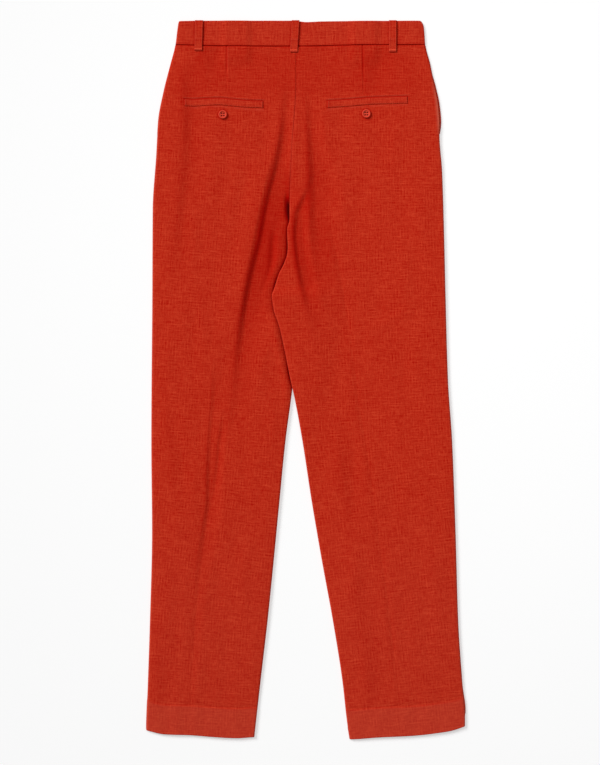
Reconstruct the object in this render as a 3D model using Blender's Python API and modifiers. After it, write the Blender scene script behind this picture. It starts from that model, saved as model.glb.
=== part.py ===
# Chino trousers laid flat with the back up, so the front rests on the surface.
# +X is the wearer's right, +Y the waist and +Z up from the surface, at z = 0.
# Tables and sizes are in millimetres. x is measured from the middle of the outline,
# and drop is measured down from the top edge of the waistband.

import math
from bisect import bisect_right
from collections import namedtuple

import bmesh
import bpy

MM = 0.001

# Driving dimensions
WAIST_TO_HEM = 1041.7
LOOP_ABOVE_WAIST = 1.3
BAND_DEPTH = 35.0
HEM_START = 985.0
LEG_CLOTH = 1.1
BAND_CLOTH = 1.4
LOOP_CLOTH = 1.0
WELT_CLOTH = 1.0
SEAM_GAP = 0.3
LAYER = LEG_CLOTH + SEAM_GAP

# How the laid cloth stands up
LEG_RISE = 3.0
WAIST_HOLD = 0.75
HEM_HOLD = 0.4
SIDE_ROLL = 24.0
LAP_ROLL = 9.0
CROTCH_DROP = 404.0
LAP_START = 250.0
LAP_FULL = 272.0
LAP_MARGIN = 4.0
CLIMB_TOP = 1.5
CLIMB_FOOT = 15.0

# Trimmings
LOOP_WIDTH = 10.6
LOOP_BOW = 1.1
FRONT_LOOP_START = 1.0
WELT_WIDTH = 11.2
BUTTON_RADIUS = 6.25
BUTTON_HEIGHT = 2.4
BUTTON_HOLE_RADIUS = 0.85
BUTTON_HOLE_CIRCLE = 1.9

# Slanted front pockets
MOUTH_FROM_SIDE = 38.0
MOUTH_END = 170.0
FACING_END = 164.0

Edge = namedtuple("Edge", "drop x")
Level = namedtuple("Level", "x drop")
Fold = namedtuple("Fold", "drop x depth left right")
Bulge = namedtuple("Bulge", "drop out")
Loop = namedtuple("Loop", "name top_x end_x end_drop")
Welt = namedtuple("Welt", "name inner_x inner_drop middle_x middle_drop outer_x outer_drop")
Button = namedtuple("Button", "name x drop")
Zone = namedtuple("Zone", "start end rows")


def table(kind, *rows):
    return [kind(*row) for row in rows]


# Outline, from the waist down
LEFT_SIDE = table(
    Edge,
    (0, -180.8), (2.5, -183.9), (12, -186.0), (35, -188.8), (63, -195.9), (101, -205.6),
    (144, -213.7), (195, -216.8), (275, -221.9), (405, -222.5), (608, -223.9),
    (740, -222.8), (870, -225.9), (1000, -230.3), (1030, -231.2),
)
RIGHT_SIDE = table(
    Edge,
    (0, 165.8), (2.5, 168.7), (12, 171.3), (35, 173.0), (63, 180.0), (98, 185.7),
    (123, 189.7), (151, 192.4), (170, 193.2), (217, 197.4), (304, 200.2), (405, 202.6),
    (521, 206.0), (608, 211.9), (740, 216.9), (870, 220.8), (956, 226.6), (1014, 231.2),
    (1025, 230.6),
)
CENTRE_FRONT = table(Edge, (0, -7.6), (35, -7.4), (250, -6.0), (404, -4.2))
LEFT_INSEAM = table(
    Edge,
    (404, -4.2), (448, -9.3), (547, -21.3), (608, -29.4), (695, -38.1), (782, -46.5),
    (870, -55.5), (956, -65.5), (1040, -74.6),
)
# Centre back seam, then hidden under the right leg to the crotch, then the inseam
LEFT_BACK_INNER = table(
    Edge,
    (0, -15.8), (93, -15.8), (129, -17.6), (187, -21.9), (256, -24.0), (270, -24.2),
    (289, -21.0), (340, -13.0), (404, -4.2),
) + LEFT_INSEAM[1:]
# Centre back seam, then the edge that laps over the left leg, then the inseam
RIGHT_BACK_INNER = table(
    Edge,
    (0, -15.5), (93, -15.5), (129, -17.3), (187, -21.6), (256, -23.6), (289, -23.8),
    (302, -27.1), (332, -26.9), (350, -31.8), (365, -39.9), (381, -45.0), (398, -49.8),
    (419, -47.0), (442, -39.0), (473, -31.8), (519, -22.6), (547, -16.3), (608, -5.1),
    (695, 8.3), (782, 23.2), (870, 39.3), (956, 52.9), (1014, 59.5), (1042, 63.9),
)
LEFT_WAIST_SEAM = table(Level, (-189, 34.6), (-110, 36.4), (-16, 36.7))
WAIST_SEAM = LEFT_WAIST_SEAM + table(Level, (90, 34.8), (173, 34.5))
WAIST_TOP = table(
    Level, (-181, 0.4), (-150, 0.0), (-20, 0.0), (1.5, 2.0), (22, 1.1), (80, 0.4), (150, 0.0),
)
HEM = table(
    Level,
    (-231, 1028.8), (-204, 1034.5), (-169, 1035.6), (-134, 1038.3), (-99, 1040.0),
    (-74, 1038.6), (64, 1041.7), (105, 1039.0), (157, 1036.4), (192, 1032.4),
    (210, 1029.5), (231, 1022.8),
)
# The right pocket's mouth stands open past the hip
POCKET_BULGE = table(
    Bulge, (78, 0.0), (97, 2.9), (118, 3.9), (142, 4.0), (157, 2.8), (170, 0.4), (180, 0.0),
)

# Largest folds: a valley has a negative depth; left and right are its two half-widths
FOLDS = [
    # across the left seat and down the inner left thigh, steep on its left side
    table(
        Fold,
        (100, -25, 0.0, 8, 22), (158, -33, -2.0, 9, 23), (230, -52, -3.2, 10, 25),
        (317, -69, -3.5, 10, 26), (361, -80, -3.5, 10, 26), (404, -88, -2.8, 12, 25),
        (448, -97, -1.8, 14, 24), (520, -107, 0.0, 16, 22),
    ),
    # from the end of the centre back seam into the right thigh
    table(
        Fold,
        (240, -5, 0.0, 9, 16), (281, -15, -2.0, 8, 18), (317, -15, -2.6, 8, 22),
        (361, -11, -2.6, 11, 22), (404, -1, -2.0, 13, 22), (455, 14, 0.0, 14, 22),
    ),
    # down the right seat beside the centre back seam
    table(
        Fold,
        (95, 1, 0.0, 9, 28), (158, 5, -2.0, 9, 32), (230, 7, -2.4, 10, 36),
        (274, 8, -1.7, 11, 40), (325, 12, 0.0, 12, 42),
    ),
    # pressed crease of the right leg
    table(
        Fold,
        (300, 37, 0.0, 9, 12), (448, 64, -0.8, 9, 13), (593, 86, -0.9, 9, 13),
        (752, 110, -0.9, 9, 13), (941, 136, -0.9, 9, 13), (1042, 141, -0.5, 9, 13),
    ),
    # pressed crease of the left leg
    table(
        Fold,
        (520, -136, 0.0, 9, 12), (600, -133, -1.1, 9, 12), (651, -140, -1.2, 9, 12),
        (738, -148, -1.0, 9, 13), (897, -165, -0.8, 9, 13), (1040, -173, -0.4, 9, 13),
    ),
    # soft hollow beside the left hip
    table(
        Fold,
        (90, -175, 0.0, 14, 20), (187, -174, -1.0, 15, 22), (259, -186, -1.0, 15, 22),
        (350, -191, 0.0, 15, 22),
    ),
]

BACK_LOOPS = table(
    Loop,
    ("belt_loop_back_left", -155.4, -155.4, 41.6),
    ("belt_loop_back_centre", -14.9, -17.9, 43.8),
    ("belt_loop_back_right", 125.2, 125.2, 43.4),
)
FRONT_LOOPS = table(
    Loop,
    ("belt_loop_front_left", -101.0, -101.0, 42.0),
    ("belt_loop_front_right", 85.0, 85.0, 42.0),
)
WELTS = table(
    Welt,
    ("welt_left", -61.9, 120.4, -121.7, 117.3, -175.9, 117.7),
    ("welt_right", 31.1, 120.2, 85.2, 115.9, 146.9, 113.8),
)
BUTTONS = table(Button, ("button_left", -120.8, 134.7), ("button_right", 87.3, 133.4))

# Rows of faces down each kind of panel; back and front share those round the crotch
CROTCH_ZONES = table(Zone, (368, 440, 7), (440, 560, 8))
BACK_ZONES = (
    table(Zone, (35, 90, 3), (90, 250, 9), (250, 274, 3), (274, 368, 8))
    + CROTCH_ZONES
    + table(Zone, (560, 985, 9), (985, 1040, 3))
)
FRONT_ZONES = (
    table(Zone, (35, 66, 3), (66, 164, 4), (164, 170, 1), (170, 368, 5))
    + CROTCH_ZONES
    + table(Zone, (560, 985, 7), (985, 1040, 2))
)
BAND_ROWS = (0.0, 2.5, 7.0, 21.0, 35.0)
BAND_COLUMNS = 30

# Colours as seen (0 to 255), and how matt each finish is
FINISHES = {
    "linen": ((186, 46, 25), 0.92),
    "waistband linen": ((189, 48, 27), 0.92),
    "welt linen": ((196, 56, 37), 0.92),
    "red plastic": ((214, 78, 58), 0.38),
}


def ease(value, start, end):
    """0 at start and 1 at end, with soft ends; start may be the larger."""
    t = min(max((value - start) / (end - start), 0.0), 1.0)
    return t * t * (3.0 - 2.0 * t)


def roll(inside, width):
    """Rises from 0 at an edge to 1 at width inside it, as cloth does at a fold."""
    t = min(max(inside / width, 0.0), 1.0)
    return 1.0 - (1.0 - t) ** 2


def follow(rows, where, column):
    """Reads a column of a table at a place in its first column, on a smooth curve."""
    keys = [row[0] for row in rows]
    values = [getattr(row, column) for row in rows]
    if where <= keys[0]:
        return values[0]
    if where >= keys[-1]:
        return values[-1]
    slopes = [
        (values[i + 1] - values[i]) / (keys[i + 1] - keys[i]) for i in range(len(rows) - 1)
    ]

    def tangent(i):
        before = slopes[max(i - 1, 0)]
        after = slopes[min(i, len(slopes) - 1)]
        if before * after <= 0.0:
            return 0.0
        return 2.0 * before * after / (before + after)

    i = bisect_right(keys, where) - 1
    span = keys[i + 1] - keys[i]
    t = (where - keys[i]) / span
    return (
        (1.0 + 2.0 * t) * (1.0 - t) ** 2 * values[i]
        + t * (1.0 - t) ** 2 * span * tangent(i)
        + t * t * (3.0 - 2.0 * t) * values[i + 1]
        + t * t * (t - 1.0) * span * tangent(i + 1)
    )


def edge(rows, drop):
    return follow(rows, drop, "x")


# Edges of the panels

def front_left_outer(drop):
    """The pocket's mouth down to its end, then the side seam."""
    inward = MOUTH_FROM_SIDE * (1.0 - (drop - BAND_DEPTH) / (MOUTH_END - BAND_DEPTH))
    return edge(LEFT_SIDE, drop) + max(inward, 0.0)


def right_hip(drop):
    """The right side seam of the front, with the open pocket mouth's bulge."""
    return edge(RIGHT_SIDE, drop) + follow(POCKET_BULGE, drop, "out")


def front_right_outer(drop):
    inward = MOUTH_FROM_SIDE * (1.0 - (drop - BAND_DEPTH) / (MOUTH_END - BAND_DEPTH))
    return right_hip(drop) - max(inward, 0.0)


def front_left_inner(drop):
    if drop < CROTCH_DROP:
        return edge(CENTRE_FRONT, drop)
    return edge(LEFT_INSEAM, drop)


def front_right_inner(drop):
    """Centre front seam, then out over the left leg to the edge that laps it."""
    lapped = ease(drop, CROTCH_DROP, CROTCH_DROP + 24.0)
    seam = edge(CENTRE_FRONT, drop) + SEAM_GAP
    return seam + lapped * (edge(RIGHT_BACK_INNER, drop) - seam)


# Heights

def loop_rise(x, drop):
    """How far the cloth is held off the surface by the two front belt loops."""
    nearest = min(abs(x - loop.top_x) for loop in FRONT_LOOPS)
    return (LOOP_CLOTH + SEAM_GAP + 0.1) * ease(nearest, 26.0, 12.5) * ease(drop, 70.0, 50.0)


def climb_over_left_leg(x, drop):
    """Height that the right front climbs where it lies over the left leg."""
    past_inseam = x - edge(LEFT_INSEAM, drop)
    climbed = ease(drop, CROTCH_DROP - 36.0, CROTCH_DROP - 3.0)
    return 2.0 * LAYER * ease(past_inseam, CLIMB_FOOT, CLIMB_TOP) * climbed


def lap_over_left_back(x, drop):
    """Height that the right back climbs where it lies over the left back alone."""
    past_edge = x - edge(LEFT_BACK_INNER, drop)
    return LAYER * ease(past_edge, CLIMB_FOOT, CLIMB_TOP) * ease(drop, LAP_START, LAP_FULL)


def folds(x, drop):
    depth = 0.0
    for rows in FOLDS:
        if rows[0].drop < drop < rows[-1].drop:
            away = x - follow(rows, drop, "x")
            half = follow(rows, drop, "left" if away < 0.0 else "right")
            depth += follow(rows, drop, "depth") * (1.0 - min(abs(away) / half, 1.0) ** 2) ** 2
    return depth


def standing(x, drop):
    """The back cloth's height over its lowest, before it rolls down at its edges."""
    at_waist = 1.0 - WAIST_HOLD * ease(drop, 110.0, BAND_DEPTH)
    at_hem = 1.0 - HEM_HOLD * ease(drop, 880.0, 1030.0)
    held = at_waist * at_hem
    height = LEG_RISE * held + folds(x, drop)
    return 0.5 * (height + math.sqrt(height * height + 0.16))


def left_visible_inner(drop):
    return min(edge(RIGHT_BACK_INNER, drop), edge(LEFT_INSEAM, drop))


def under_left_front(x, drop):
    return loop_rise(x, drop)


def under_right_front(x, drop):
    return max(loop_rise(x, drop), climb_over_left_leg(x, drop))


def left_back_top(x, drop):
    tucked = ease(drop, LAP_START - 10.0, LAP_FULL)
    at_inner = 1.0 - tucked * (1.0 - roll(left_visible_inner(drop) - LAP_MARGIN - x, 14.0))
    at_side = roll(x - edge(LEFT_SIDE, drop), SIDE_ROLL)
    lowest = under_left_front(x, drop) + LEG_CLOTH + LAYER
    return lowest + standing(x, drop) * at_inner * at_side


def right_back_top(x, drop):
    parted = ease(drop, LAP_START, LAP_FULL)
    at_inner = 1.0 - parted * (1.0 - roll(x - edge(RIGHT_BACK_INNER, drop), LAP_ROLL))
    at_side = roll(edge(RIGHT_SIDE, drop) - x, SIDE_ROLL)
    carried = max(under_right_front(x, drop), lap_over_left_back(x, drop))
    return carried + LEG_CLOTH + LAYER + standing(x, drop) * at_inner * at_side


def back_band_top(x, drop):
    at_ends = roll(x - edge(LEFT_SIDE, drop), 14.0) * roll(edge(RIGHT_SIDE, drop) - x, 14.0)
    return loop_rise(x, drop) + 2.0 * BAND_CLOTH + SEAM_GAP + 0.5 * at_ends


# How rows bend to meet the waist seam, the top edge and the hem

def settle_panel(x, drop):
    at_waist = ease(drop, 90.0, BAND_DEPTH)
    at_hem = ease(drop, HEM_START - 25.0, 1036.0)
    seam = follow(WAIST_SEAM, x, "drop") + SEAM_GAP - BAND_DEPTH
    hem = follow(HEM, x, "drop") - 1040.0
    return drop + at_waist * seam + at_hem * hem


def settle_band(x, drop):
    down = drop / BAND_DEPTH
    top = follow(WAIST_TOP, x, "drop")
    seam = follow(WAIST_SEAM, x, "drop") - BAND_DEPTH
    return drop + (1.0 - down) * top + down * seam


def rows_of(zones):
    drops = [zones[0].start]
    for zone in zones:
        step = (zone.end - zone.start) / zone.rows
        drops += [zone.start + step * (i + 1) for i in range(zone.rows)]
    return drops


def place(x, drop, height):
    """A point in the scene's metres, with the whole length centred on the origin."""
    waist_y = (WAIST_TO_HEM + LOOP_ABOVE_WAIST) / 2.0 - LOOP_ABOVE_WAIST
    return x * MM, (waist_y - drop) * MM, height * MM


class Panel:
    """A piece of cloth as rows of points on one of its faces; across gives a row's x."""

    def __init__(self, name, across, drops, height, settle, wall, grows):
        self.name = name
        self.across = across
        self.drops = drops
        self.height = height
        self.settle = settle
        self.wall = wall
        self.grows = grows
        self.columns = len(across(drops[0])) - 1

    def point(self, column, row):
        x = self.across(self.drops[row])[column]
        drop = self.settle(x, self.drops[row])
        return x, drop, self.height(x, drop)

    def row_height(self, x, row):
        places = self.across(self.drops[row])
        column = min(max(bisect_right(places, x) - 1, 0), self.columns - 1)
        before = self.point(column, row)
        after = self.point(column + 1, row)
        t = min(max((x - before[0]) / (after[0] - before[0]), 0.0), 1.0)
        return before[2] + (after[2] - before[2]) * t

    def top_at(self, x, drop):
        """Height of the panel's own faces at a place, for what lies on it."""
        row = min(max(bisect_right(self.drops, drop) - 1, 0), len(self.drops) - 2)
        t = (drop - self.drops[row]) / (self.drops[row + 1] - self.drops[row])
        t = min(max(t, 0.0), 1.0)
        return self.row_height(x, row) * (1.0 - t) + self.row_height(x, row + 1) * t

    def build(self, finish):
        return cloth_object(
            self.name, self.columns, len(self.drops) - 1, self.point, self.wall, self.grows, finish
        )


def cloth_object(name, columns, rows, point, wall, grows, finish):
    """A grid laid through point(column, row) and given its wall; grows is +1 up, -1 down."""
    bm = bmesh.new()
    bmesh.ops.create_grid(bm, x_segments=columns, y_segments=rows, size=0.5)
    for vert in bm.verts:
        column = round((vert.co.x + 0.5) * columns)
        row = round((0.5 - vert.co.y) * rows)
        vert.co = place(*point(column, row))
    body = object_from(bm, name, finish)
    solidify = body.modifiers.new("Wall", "SOLIDIFY")
    solidify.thickness = wall * MM
    solidify.offset = grows
    return body


def object_from(bm, name, finish):
    mesh = bpy.data.meshes.new(name)
    bm.to_mesh(mesh)
    bm.free()
    mesh.shade_smooth()
    mesh.materials.append(material(name, finish))
    body = bpy.data.objects.new(name, mesh)
    collection("Chino trousers").objects.link(body)
    return body


def collection(name):
    found = bpy.data.collections.get(name)
    if found is None:
        found = bpy.data.collections.new(name)
        bpy.context.scene.collection.children.link(found)
    return found


def linear(channel):
    value = channel / 255.0
    if value <= 0.04045:
        return value / 12.92
    return ((value + 0.055) / 1.055) ** 2.4


def material(name, finish):
    colour, roughness = FINISHES[finish]
    made = bpy.data.materials.new(name + " " + finish)
    made.use_nodes = True
    shader = made.node_tree.nodes["Principled BSDF"]
    shader.inputs["Base Color"].default_value = [linear(c) for c in colour] + [1.0]
    shader.inputs["Roughness"].default_value = roughness
    shader.inputs["Metallic"].default_value = 0.0
    return made


# The pieces

def spread(stops, counts):
    """Places from the first stop to the last, with so many steps between each two."""
    places = [stops[0]]
    for start, end, count in zip(stops, stops[1:], counts):
        places += [start + (end - start) * (i + 1) / count for i in range(count)]
    return places


def left_back_across(drop):
    """Closer columns for the strip that the right leg hides."""
    inner = edge(LEFT_BACK_INNER, drop)
    shown = min(edge(RIGHT_BACK_INNER, drop) - LAP_MARGIN, inner - 12.0)
    return spread((edge(LEFT_SIDE, drop), shown, inner), (17, 3))


def right_leg_stops(inner, covered, side):
    """Stops where a right panel lies on the left leg, comes down from it, and lies flat."""
    top = max(inner + 8.0, covered + CLIMB_TOP)
    return inner, top, top + CLIMB_FOOT - CLIMB_TOP, side


def right_back_across(drop):
    inner = edge(RIGHT_BACK_INNER, drop)
    side = edge(RIGHT_SIDE, drop)
    return spread(right_leg_stops(inner, edge(LEFT_BACK_INNER, drop), side), (4, 3, 13))


def right_front_across(drop):
    inner = front_right_inner(drop)
    stops = right_leg_stops(inner, edge(LEFT_BACK_INNER, drop), front_right_outer(drop))
    return spread(stops, (4, 3, 5))


def back_panels():
    drops = rows_of(BACK_ZONES)
    left = Panel(
        "back_left", left_back_across, drops, left_back_top, settle_panel, LEG_CLOTH, -1.0
    )
    right = Panel(
        "back_right", right_back_across, drops, right_back_top, settle_panel, LEG_CLOTH, -1.0
    )
    return left, right


def front_panels():
    drops = rows_of(FRONT_ZONES)
    left = Panel(
        "front_left",
        lambda drop: spread((front_left_outer(drop), front_left_inner(drop)), (9,)),
        drops, under_left_front, settle_panel, LEG_CLOTH, 1.0,
    )
    right = Panel(
        "front_right", right_front_across, drops, under_right_front, settle_panel, LEG_CLOTH, 1.0
    )
    return left, right


def pocket_facings():
    drops = [drop for drop in rows_of(FRONT_ZONES) if drop <= FACING_END]
    left = Panel(
        "pocket_facing_left",
        lambda drop: spread((edge(LEFT_SIDE, drop), front_left_outer(drop) - SEAM_GAP), (2,)),
        drops, under_left_front, settle_panel, LEG_CLOTH, 1.0,
    )
    right = Panel(
        "pocket_facing_right",
        lambda drop: spread((front_right_outer(drop) + SEAM_GAP, right_hip(drop)), (2,)),
        drops, under_right_front, settle_panel, LEG_CLOTH, 1.0,
    )
    return left, right


def waistbands():
    back = Panel(
        "waistband_back",
        lambda drop: spread((edge(LEFT_SIDE, drop), edge(RIGHT_SIDE, drop)), (BAND_COLUMNS,)),
        BAND_ROWS, back_band_top, settle_band, BAND_CLOTH, -1.0,
    )
    half = BAND_COLUMNS // 2
    front_left = Panel(
        "waistband_front_left",
        lambda drop: spread((edge(LEFT_SIDE, drop), edge(CENTRE_FRONT, drop)), (half,)),
        BAND_ROWS, loop_rise, settle_band, BAND_CLOTH, 1.0,
    )
    front_right = Panel(
        "waistband_front_right",
        lambda drop: spread(
            (edge(CENTRE_FRONT, drop) + SEAM_GAP, edge(RIGHT_SIDE, drop)), (half,)
        ),
        BAND_ROWS, loop_rise, settle_band, BAND_CLOTH, 1.0,
    )
    return back, front_left, front_right


def back_loop(loop, band, panel):
    """A strip folded over the waistband's top edge and sewn down below its seam."""
    # columns: drop as a share of the loop's length, and lift off what it lies on
    path = (
        (-0.03, -1.6), (-0.028, -0.4), (0.0, 0.15), (0.06, 0.45), (0.25, 1.0), (0.5, 1.0),
        (0.72, 0.8), (0.9, 0.1), (1.0, 0.0),
    )

    def point(column, row):
        share, lift = path[row]
        drop = share * loop.end_drop
        x = loop.top_x + (loop.end_x - loop.top_x) * max(share, 0.0)
        x += LOOP_WIDTH * (column / 2 - 0.5)
        below = band if drop < BAND_DEPTH else panel
        rest = below.top_at(x, max(drop, 0.0))
        if drop > 28.0:
            rest = max(rest, band.top_at(x, BAND_DEPTH), panel.top_at(x, drop))
        lifted = lift * LOOP_BOW if lift > 0.0 else lift
        return x, drop, rest + SEAM_GAP + LOOP_CLOTH + lifted

    return cloth_object(loop.name, 2, len(path) - 1, point, LOOP_CLOTH, -1.0, "waistband linen")


def front_loop(loop):
    """Pressed flat between the surface and the front of the waistband."""

    def point(column, row):
        drop = FRONT_LOOP_START + (loop.end_drop - FRONT_LOOP_START) * row / 4
        return loop.top_x + LOOP_WIDTH * (column / 2 - 0.5), drop, 0.0

    return cloth_object(loop.name, 2, 4, point, LOOP_CLOTH, 1.0, "waistband linen")


def pocket_welt(welt, panel):
    """A narrow strip over the hip pocket's mouth, on a curve through three places."""
    ends = sorted(
        table(
            Level,
            (welt.inner_x, welt.inner_drop),
            (welt.middle_x, welt.middle_drop),
            (welt.outer_x, welt.outer_drop),
        )
    )
    columns = 16

    def point(column, row):
        x = ends[0].x + (ends[-1].x - ends[0].x) * column / columns
        drop = follow(ends, x, "drop") + WELT_WIDTH * (row / 2 - 0.5)
        return x, drop, panel.top_at(x, drop) + SEAM_GAP + WELT_CLOTH

    return cloth_object(welt.name, columns, 2, point, WELT_CLOTH, -1.0, "welt linen")


def sewn_button(button, panel):
    """A turned disc with a raised rim, a dished middle and four holes."""
    ring = [2.0 * math.pi * i / 12 for i in range(12)]
    rest = max(
        panel.top_at(button.x + BUTTON_RADIUS * math.cos(a), button.drop + BUTTON_RADIUS * math.sin(a))
        for a in ring
    )
    rest = max(rest, panel.top_at(button.x, button.drop)) + SEAM_GAP
    # columns: radius, height; down the outer side from the middle of the top
    profile = (
        (0.0, 1.5), (3.7, 1.5), (4.5, BUTTON_HEIGHT), (5.6, BUTTON_HEIGHT),
        (BUTTON_RADIUS, 1.8), (BUTTON_RADIUS, 0.9), (5.2, 0.0), (0.0, 0.0),
    )
    bm = bmesh.new()
    points = [bm.verts.new((radius * MM, 0.0, height * MM)) for radius, height in profile]
    for upper, lower in zip(points, points[1:]):
        bm.edges.new((upper, lower))
    body = object_from(bm, button.name, "red plastic")
    body.location = place(button.x, button.drop, rest)
    screw = body.modifiers.new("Turned", "SCREW")
    screw.steps = 24
    screw.render_steps = 24
    screw.use_merge_vertices = True
    screw.merge_threshold = 0.00001
    for i in range(4):
        angle = math.pi * (0.25 + 0.5 * i)
        hole = thread_hole(
            body, BUTTON_HOLE_CIRCLE * math.cos(angle), BUTTON_HOLE_CIRCLE * math.sin(angle), i
        )
        cut = body.modifiers.new("Thread hole", "BOOLEAN")
        cut.operation = "DIFFERENCE"
        cut.solver = "EXACT"
        cut.object = hole
    return body


def thread_hole(button, x, y, number):
    bm = bmesh.new()
    bmesh.ops.create_cone(
        bm, cap_ends=True, segments=10,
        radius1=BUTTON_HOLE_RADIUS * MM, radius2=BUTTON_HOLE_RADIUS * MM,
        depth=4.0 * BUTTON_HEIGHT * MM,
    )
    mesh = bpy.data.meshes.new("{}_hole_{}".format(button.name, number))
    bm.to_mesh(mesh)
    bm.free()
    hole = bpy.data.objects.new(mesh.name, mesh)
    hole.location = (button.location.x + x * MM, button.location.y + y * MM, button.location.z)
    hole.display_type = "WIRE"
    hole.hide_render = True
    collection("Cutters").objects.link(hole)
    return hole


def main():
    for old in list(bpy.data.objects):
        bpy.data.objects.remove(old, do_unlink=True)

    back_left, back_right = back_panels()
    back_left.build("linen")
    back_right.build("linen")
    for panel in front_panels() + pocket_facings():
        panel.build("linen")

    bands = waistbands()
    for band in bands:
        band.build("waistband linen")

    for loop in BACK_LOOPS:
        panel = back_left if loop.end_x < edge(RIGHT_BACK_INNER, loop.end_drop) else back_right
        back_loop(loop, bands[0], panel)
    for loop in FRONT_LOOPS:
        front_loop(loop)

    for welt, button, panel in zip(WELTS, BUTTONS, (back_left, back_right)):
        pocket_welt(welt, panel)
        sewn_button(button, panel)


main()
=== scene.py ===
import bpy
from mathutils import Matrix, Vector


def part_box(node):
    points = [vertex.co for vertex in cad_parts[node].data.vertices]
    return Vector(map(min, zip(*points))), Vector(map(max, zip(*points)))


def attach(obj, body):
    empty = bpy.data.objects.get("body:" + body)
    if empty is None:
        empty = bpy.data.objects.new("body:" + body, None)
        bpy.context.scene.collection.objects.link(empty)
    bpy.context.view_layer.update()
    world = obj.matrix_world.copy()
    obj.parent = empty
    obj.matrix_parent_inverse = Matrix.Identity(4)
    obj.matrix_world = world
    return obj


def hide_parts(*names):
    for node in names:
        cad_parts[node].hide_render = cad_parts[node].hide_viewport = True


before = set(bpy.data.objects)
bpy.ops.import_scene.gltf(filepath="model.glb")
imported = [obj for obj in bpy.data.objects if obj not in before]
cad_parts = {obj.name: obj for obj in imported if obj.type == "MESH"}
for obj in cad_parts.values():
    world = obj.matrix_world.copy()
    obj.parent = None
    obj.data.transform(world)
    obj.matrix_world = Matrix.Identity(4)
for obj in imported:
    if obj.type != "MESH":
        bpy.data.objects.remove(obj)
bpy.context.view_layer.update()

import math

import bpy
import numpy as np
from mathutils import Vector

print("frame loaded,", len(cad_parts), "nodes")

# The trousers lie with the back up. Tables are in millimetres: x is measured from the middle
# of the outline towards the wearer's right, drop is measured down from the waistband's top edge.
mm = 0.001
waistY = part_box("waistband_back")[1].y / mm


class Table:
    # rows, read at places in their first column, each other column on a smooth curve
    def __init__(self, *rows):
        self.keys, *self.columns = np.array(rows, float).T
        self.start, self.end = self.keys[0], self.keys[-1]

    def __call__(self, where, column=1):
        keys, values = self.keys, self.columns[column - 1]
        slopes = np.diff(values) / np.diff(keys)
        before, after = np.append(slopes[:1], slopes), np.append(slopes, slopes[-1:])
        same = before * after > 0.0
        tangents = np.where(same, 2.0 * before * after / np.where(same, before + after, 1.0), 0.0)
        where = np.clip(where, keys[0], keys[-1])
        i = np.clip(np.searchsorted(keys, where, side="right") - 1, 0, len(keys) - 2)
        span = keys[i + 1] - keys[i]
        t = (where - keys[i]) / span
        return (
            (1.0 + 2.0 * t) * (1.0 - t) ** 2 * values[i]
            + t * (1.0 - t) ** 2 * span * tangents[i]
            + t * t * (3.0 - 2.0 * t) * values[i + 1]
            + t * t * (t - 1.0) * span * tangents[i + 1]
        )


# columns: drop, x
leftSide = Table(
    (0, -183), (1.5, -184.3), (12, -186), (35, -188.8), (63, -195.9), (101, -205.6),
    (144, -213.7), (195, -216.8), (275, -221.9), (405, -222.5), (608, -223.9), (740, -222.8),
    (870, -225.9), (1000, -230.3), (1030, -231.2),
)
rightSide = Table(
    (0, 165.8), (2.5, 168.7), (12, 171.3), (35, 173), (63, 180), (98, 186.7), (118, 190.7),
    (135, 192.4), (151, 193.4), (170, 193.7), (217, 197.4), (304, 200.2), (405, 202.6),
    (521, 206), (608, 211.9), (740, 216.9), (870, 220.8), (956, 226.6), (1014, 231.2), (1025, 230.6),
)
centreFront = Table((0, -7.6), (35, -7.4), (250, -6), (404, -4.2))
inseamRows = [
    (404, -4.2), (448, -9.3), (547, -21.3), (608, -29.4), (695, -38.1), (782, -46.5),
    (870, -55.5), (956, -65.5), (1040, -74.6),
]
leftInseam = Table(*inseamRows)
# centre back seam, then hidden under the right leg as far as the crotch, then the inseam
leftBackInner = Table(
    (0, -15.8), (93, -15.8), (129, -17.6), (187, -21.9), (256, -24), (270, -24.2), (289, -21),
    (340, -13), *inseamRows,
)
# centre back seam, then the edge that laps over the left leg, then the inseam
rightBackInner = Table(
    (0, -15.5), (93, -15.5), (129, -17.3), (187, -21.6), (256, -23.6), (289, -23.8), (302, -27.1),
    (328, -26.4), (336, -26.8), (350, -30.9), (361, -36.2), (366, -38.9), (381, -43.7),
    (390, -46.6), (398, -49.2), (419, -46.7), (442, -39), (473, -31.8), (519, -22.6),
    (547, -16.3), (608, -5.1), (695, 8.3), (782, 23.2), (870, 39.3), (956, 52.9), (1014, 59.5),
    (1042, 63.9),
)
# how far the right pocket's mouth stands out past the hip; columns: drop, out
pocketBulge = Table(
    (78, 0), (97, 1.7), (118, 2.2), (142, 2.6), (157, 1.5), (163, 0.6), (168, 0.1), (175, 0)
)
# columns: x, drop
waistSeam = Table((-189, 34.6), (-110, 36.4), (-16, 36.7), (90, 34.8), (173, 34.5))
waistTop = Table((-181, 0.4), (-150, 0), (-20, 0), (1.5, 2), (22, 1.1), (80, 0.4), (150, 0))
hem = Table(
    (-231, 1027.8), (-204, 1033.5), (-169, 1034.6), (-134, 1037.3), (-99, 1039), (-74, 1037.6),
    (64, 1040.7), (105, 1038), (157, 1035.4), (192, 1031.4), (210, 1028.5), (231, 1021.8),
)
# the darts' lines, which run on down the legs as the pressed creases; columns: drop, x
leftCrease = Table(
    (30, -113.2), (107, -113.4), (250, -118), (400, -128), (520, -135), (636, -140.5),
    (752, -150.6), (876, -164.5), (984, -170), (1045, -172),
)
rightCrease = Table(
    (30, 82.3), (107, 83.9), (130, 82), (290, 42), (375, 53), (448, 66), (520, 76), (593, 84),
    (665, 96), (752, 108), (839, 121), (941, 136.5), (1013, 139.5), (1045, 140),
)
# the line that the right leg's threads run along
rightGrain = Table((30, 84), (200, 84), (400, 87), (593, 92), (752, 108), (1045, 140))


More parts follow.
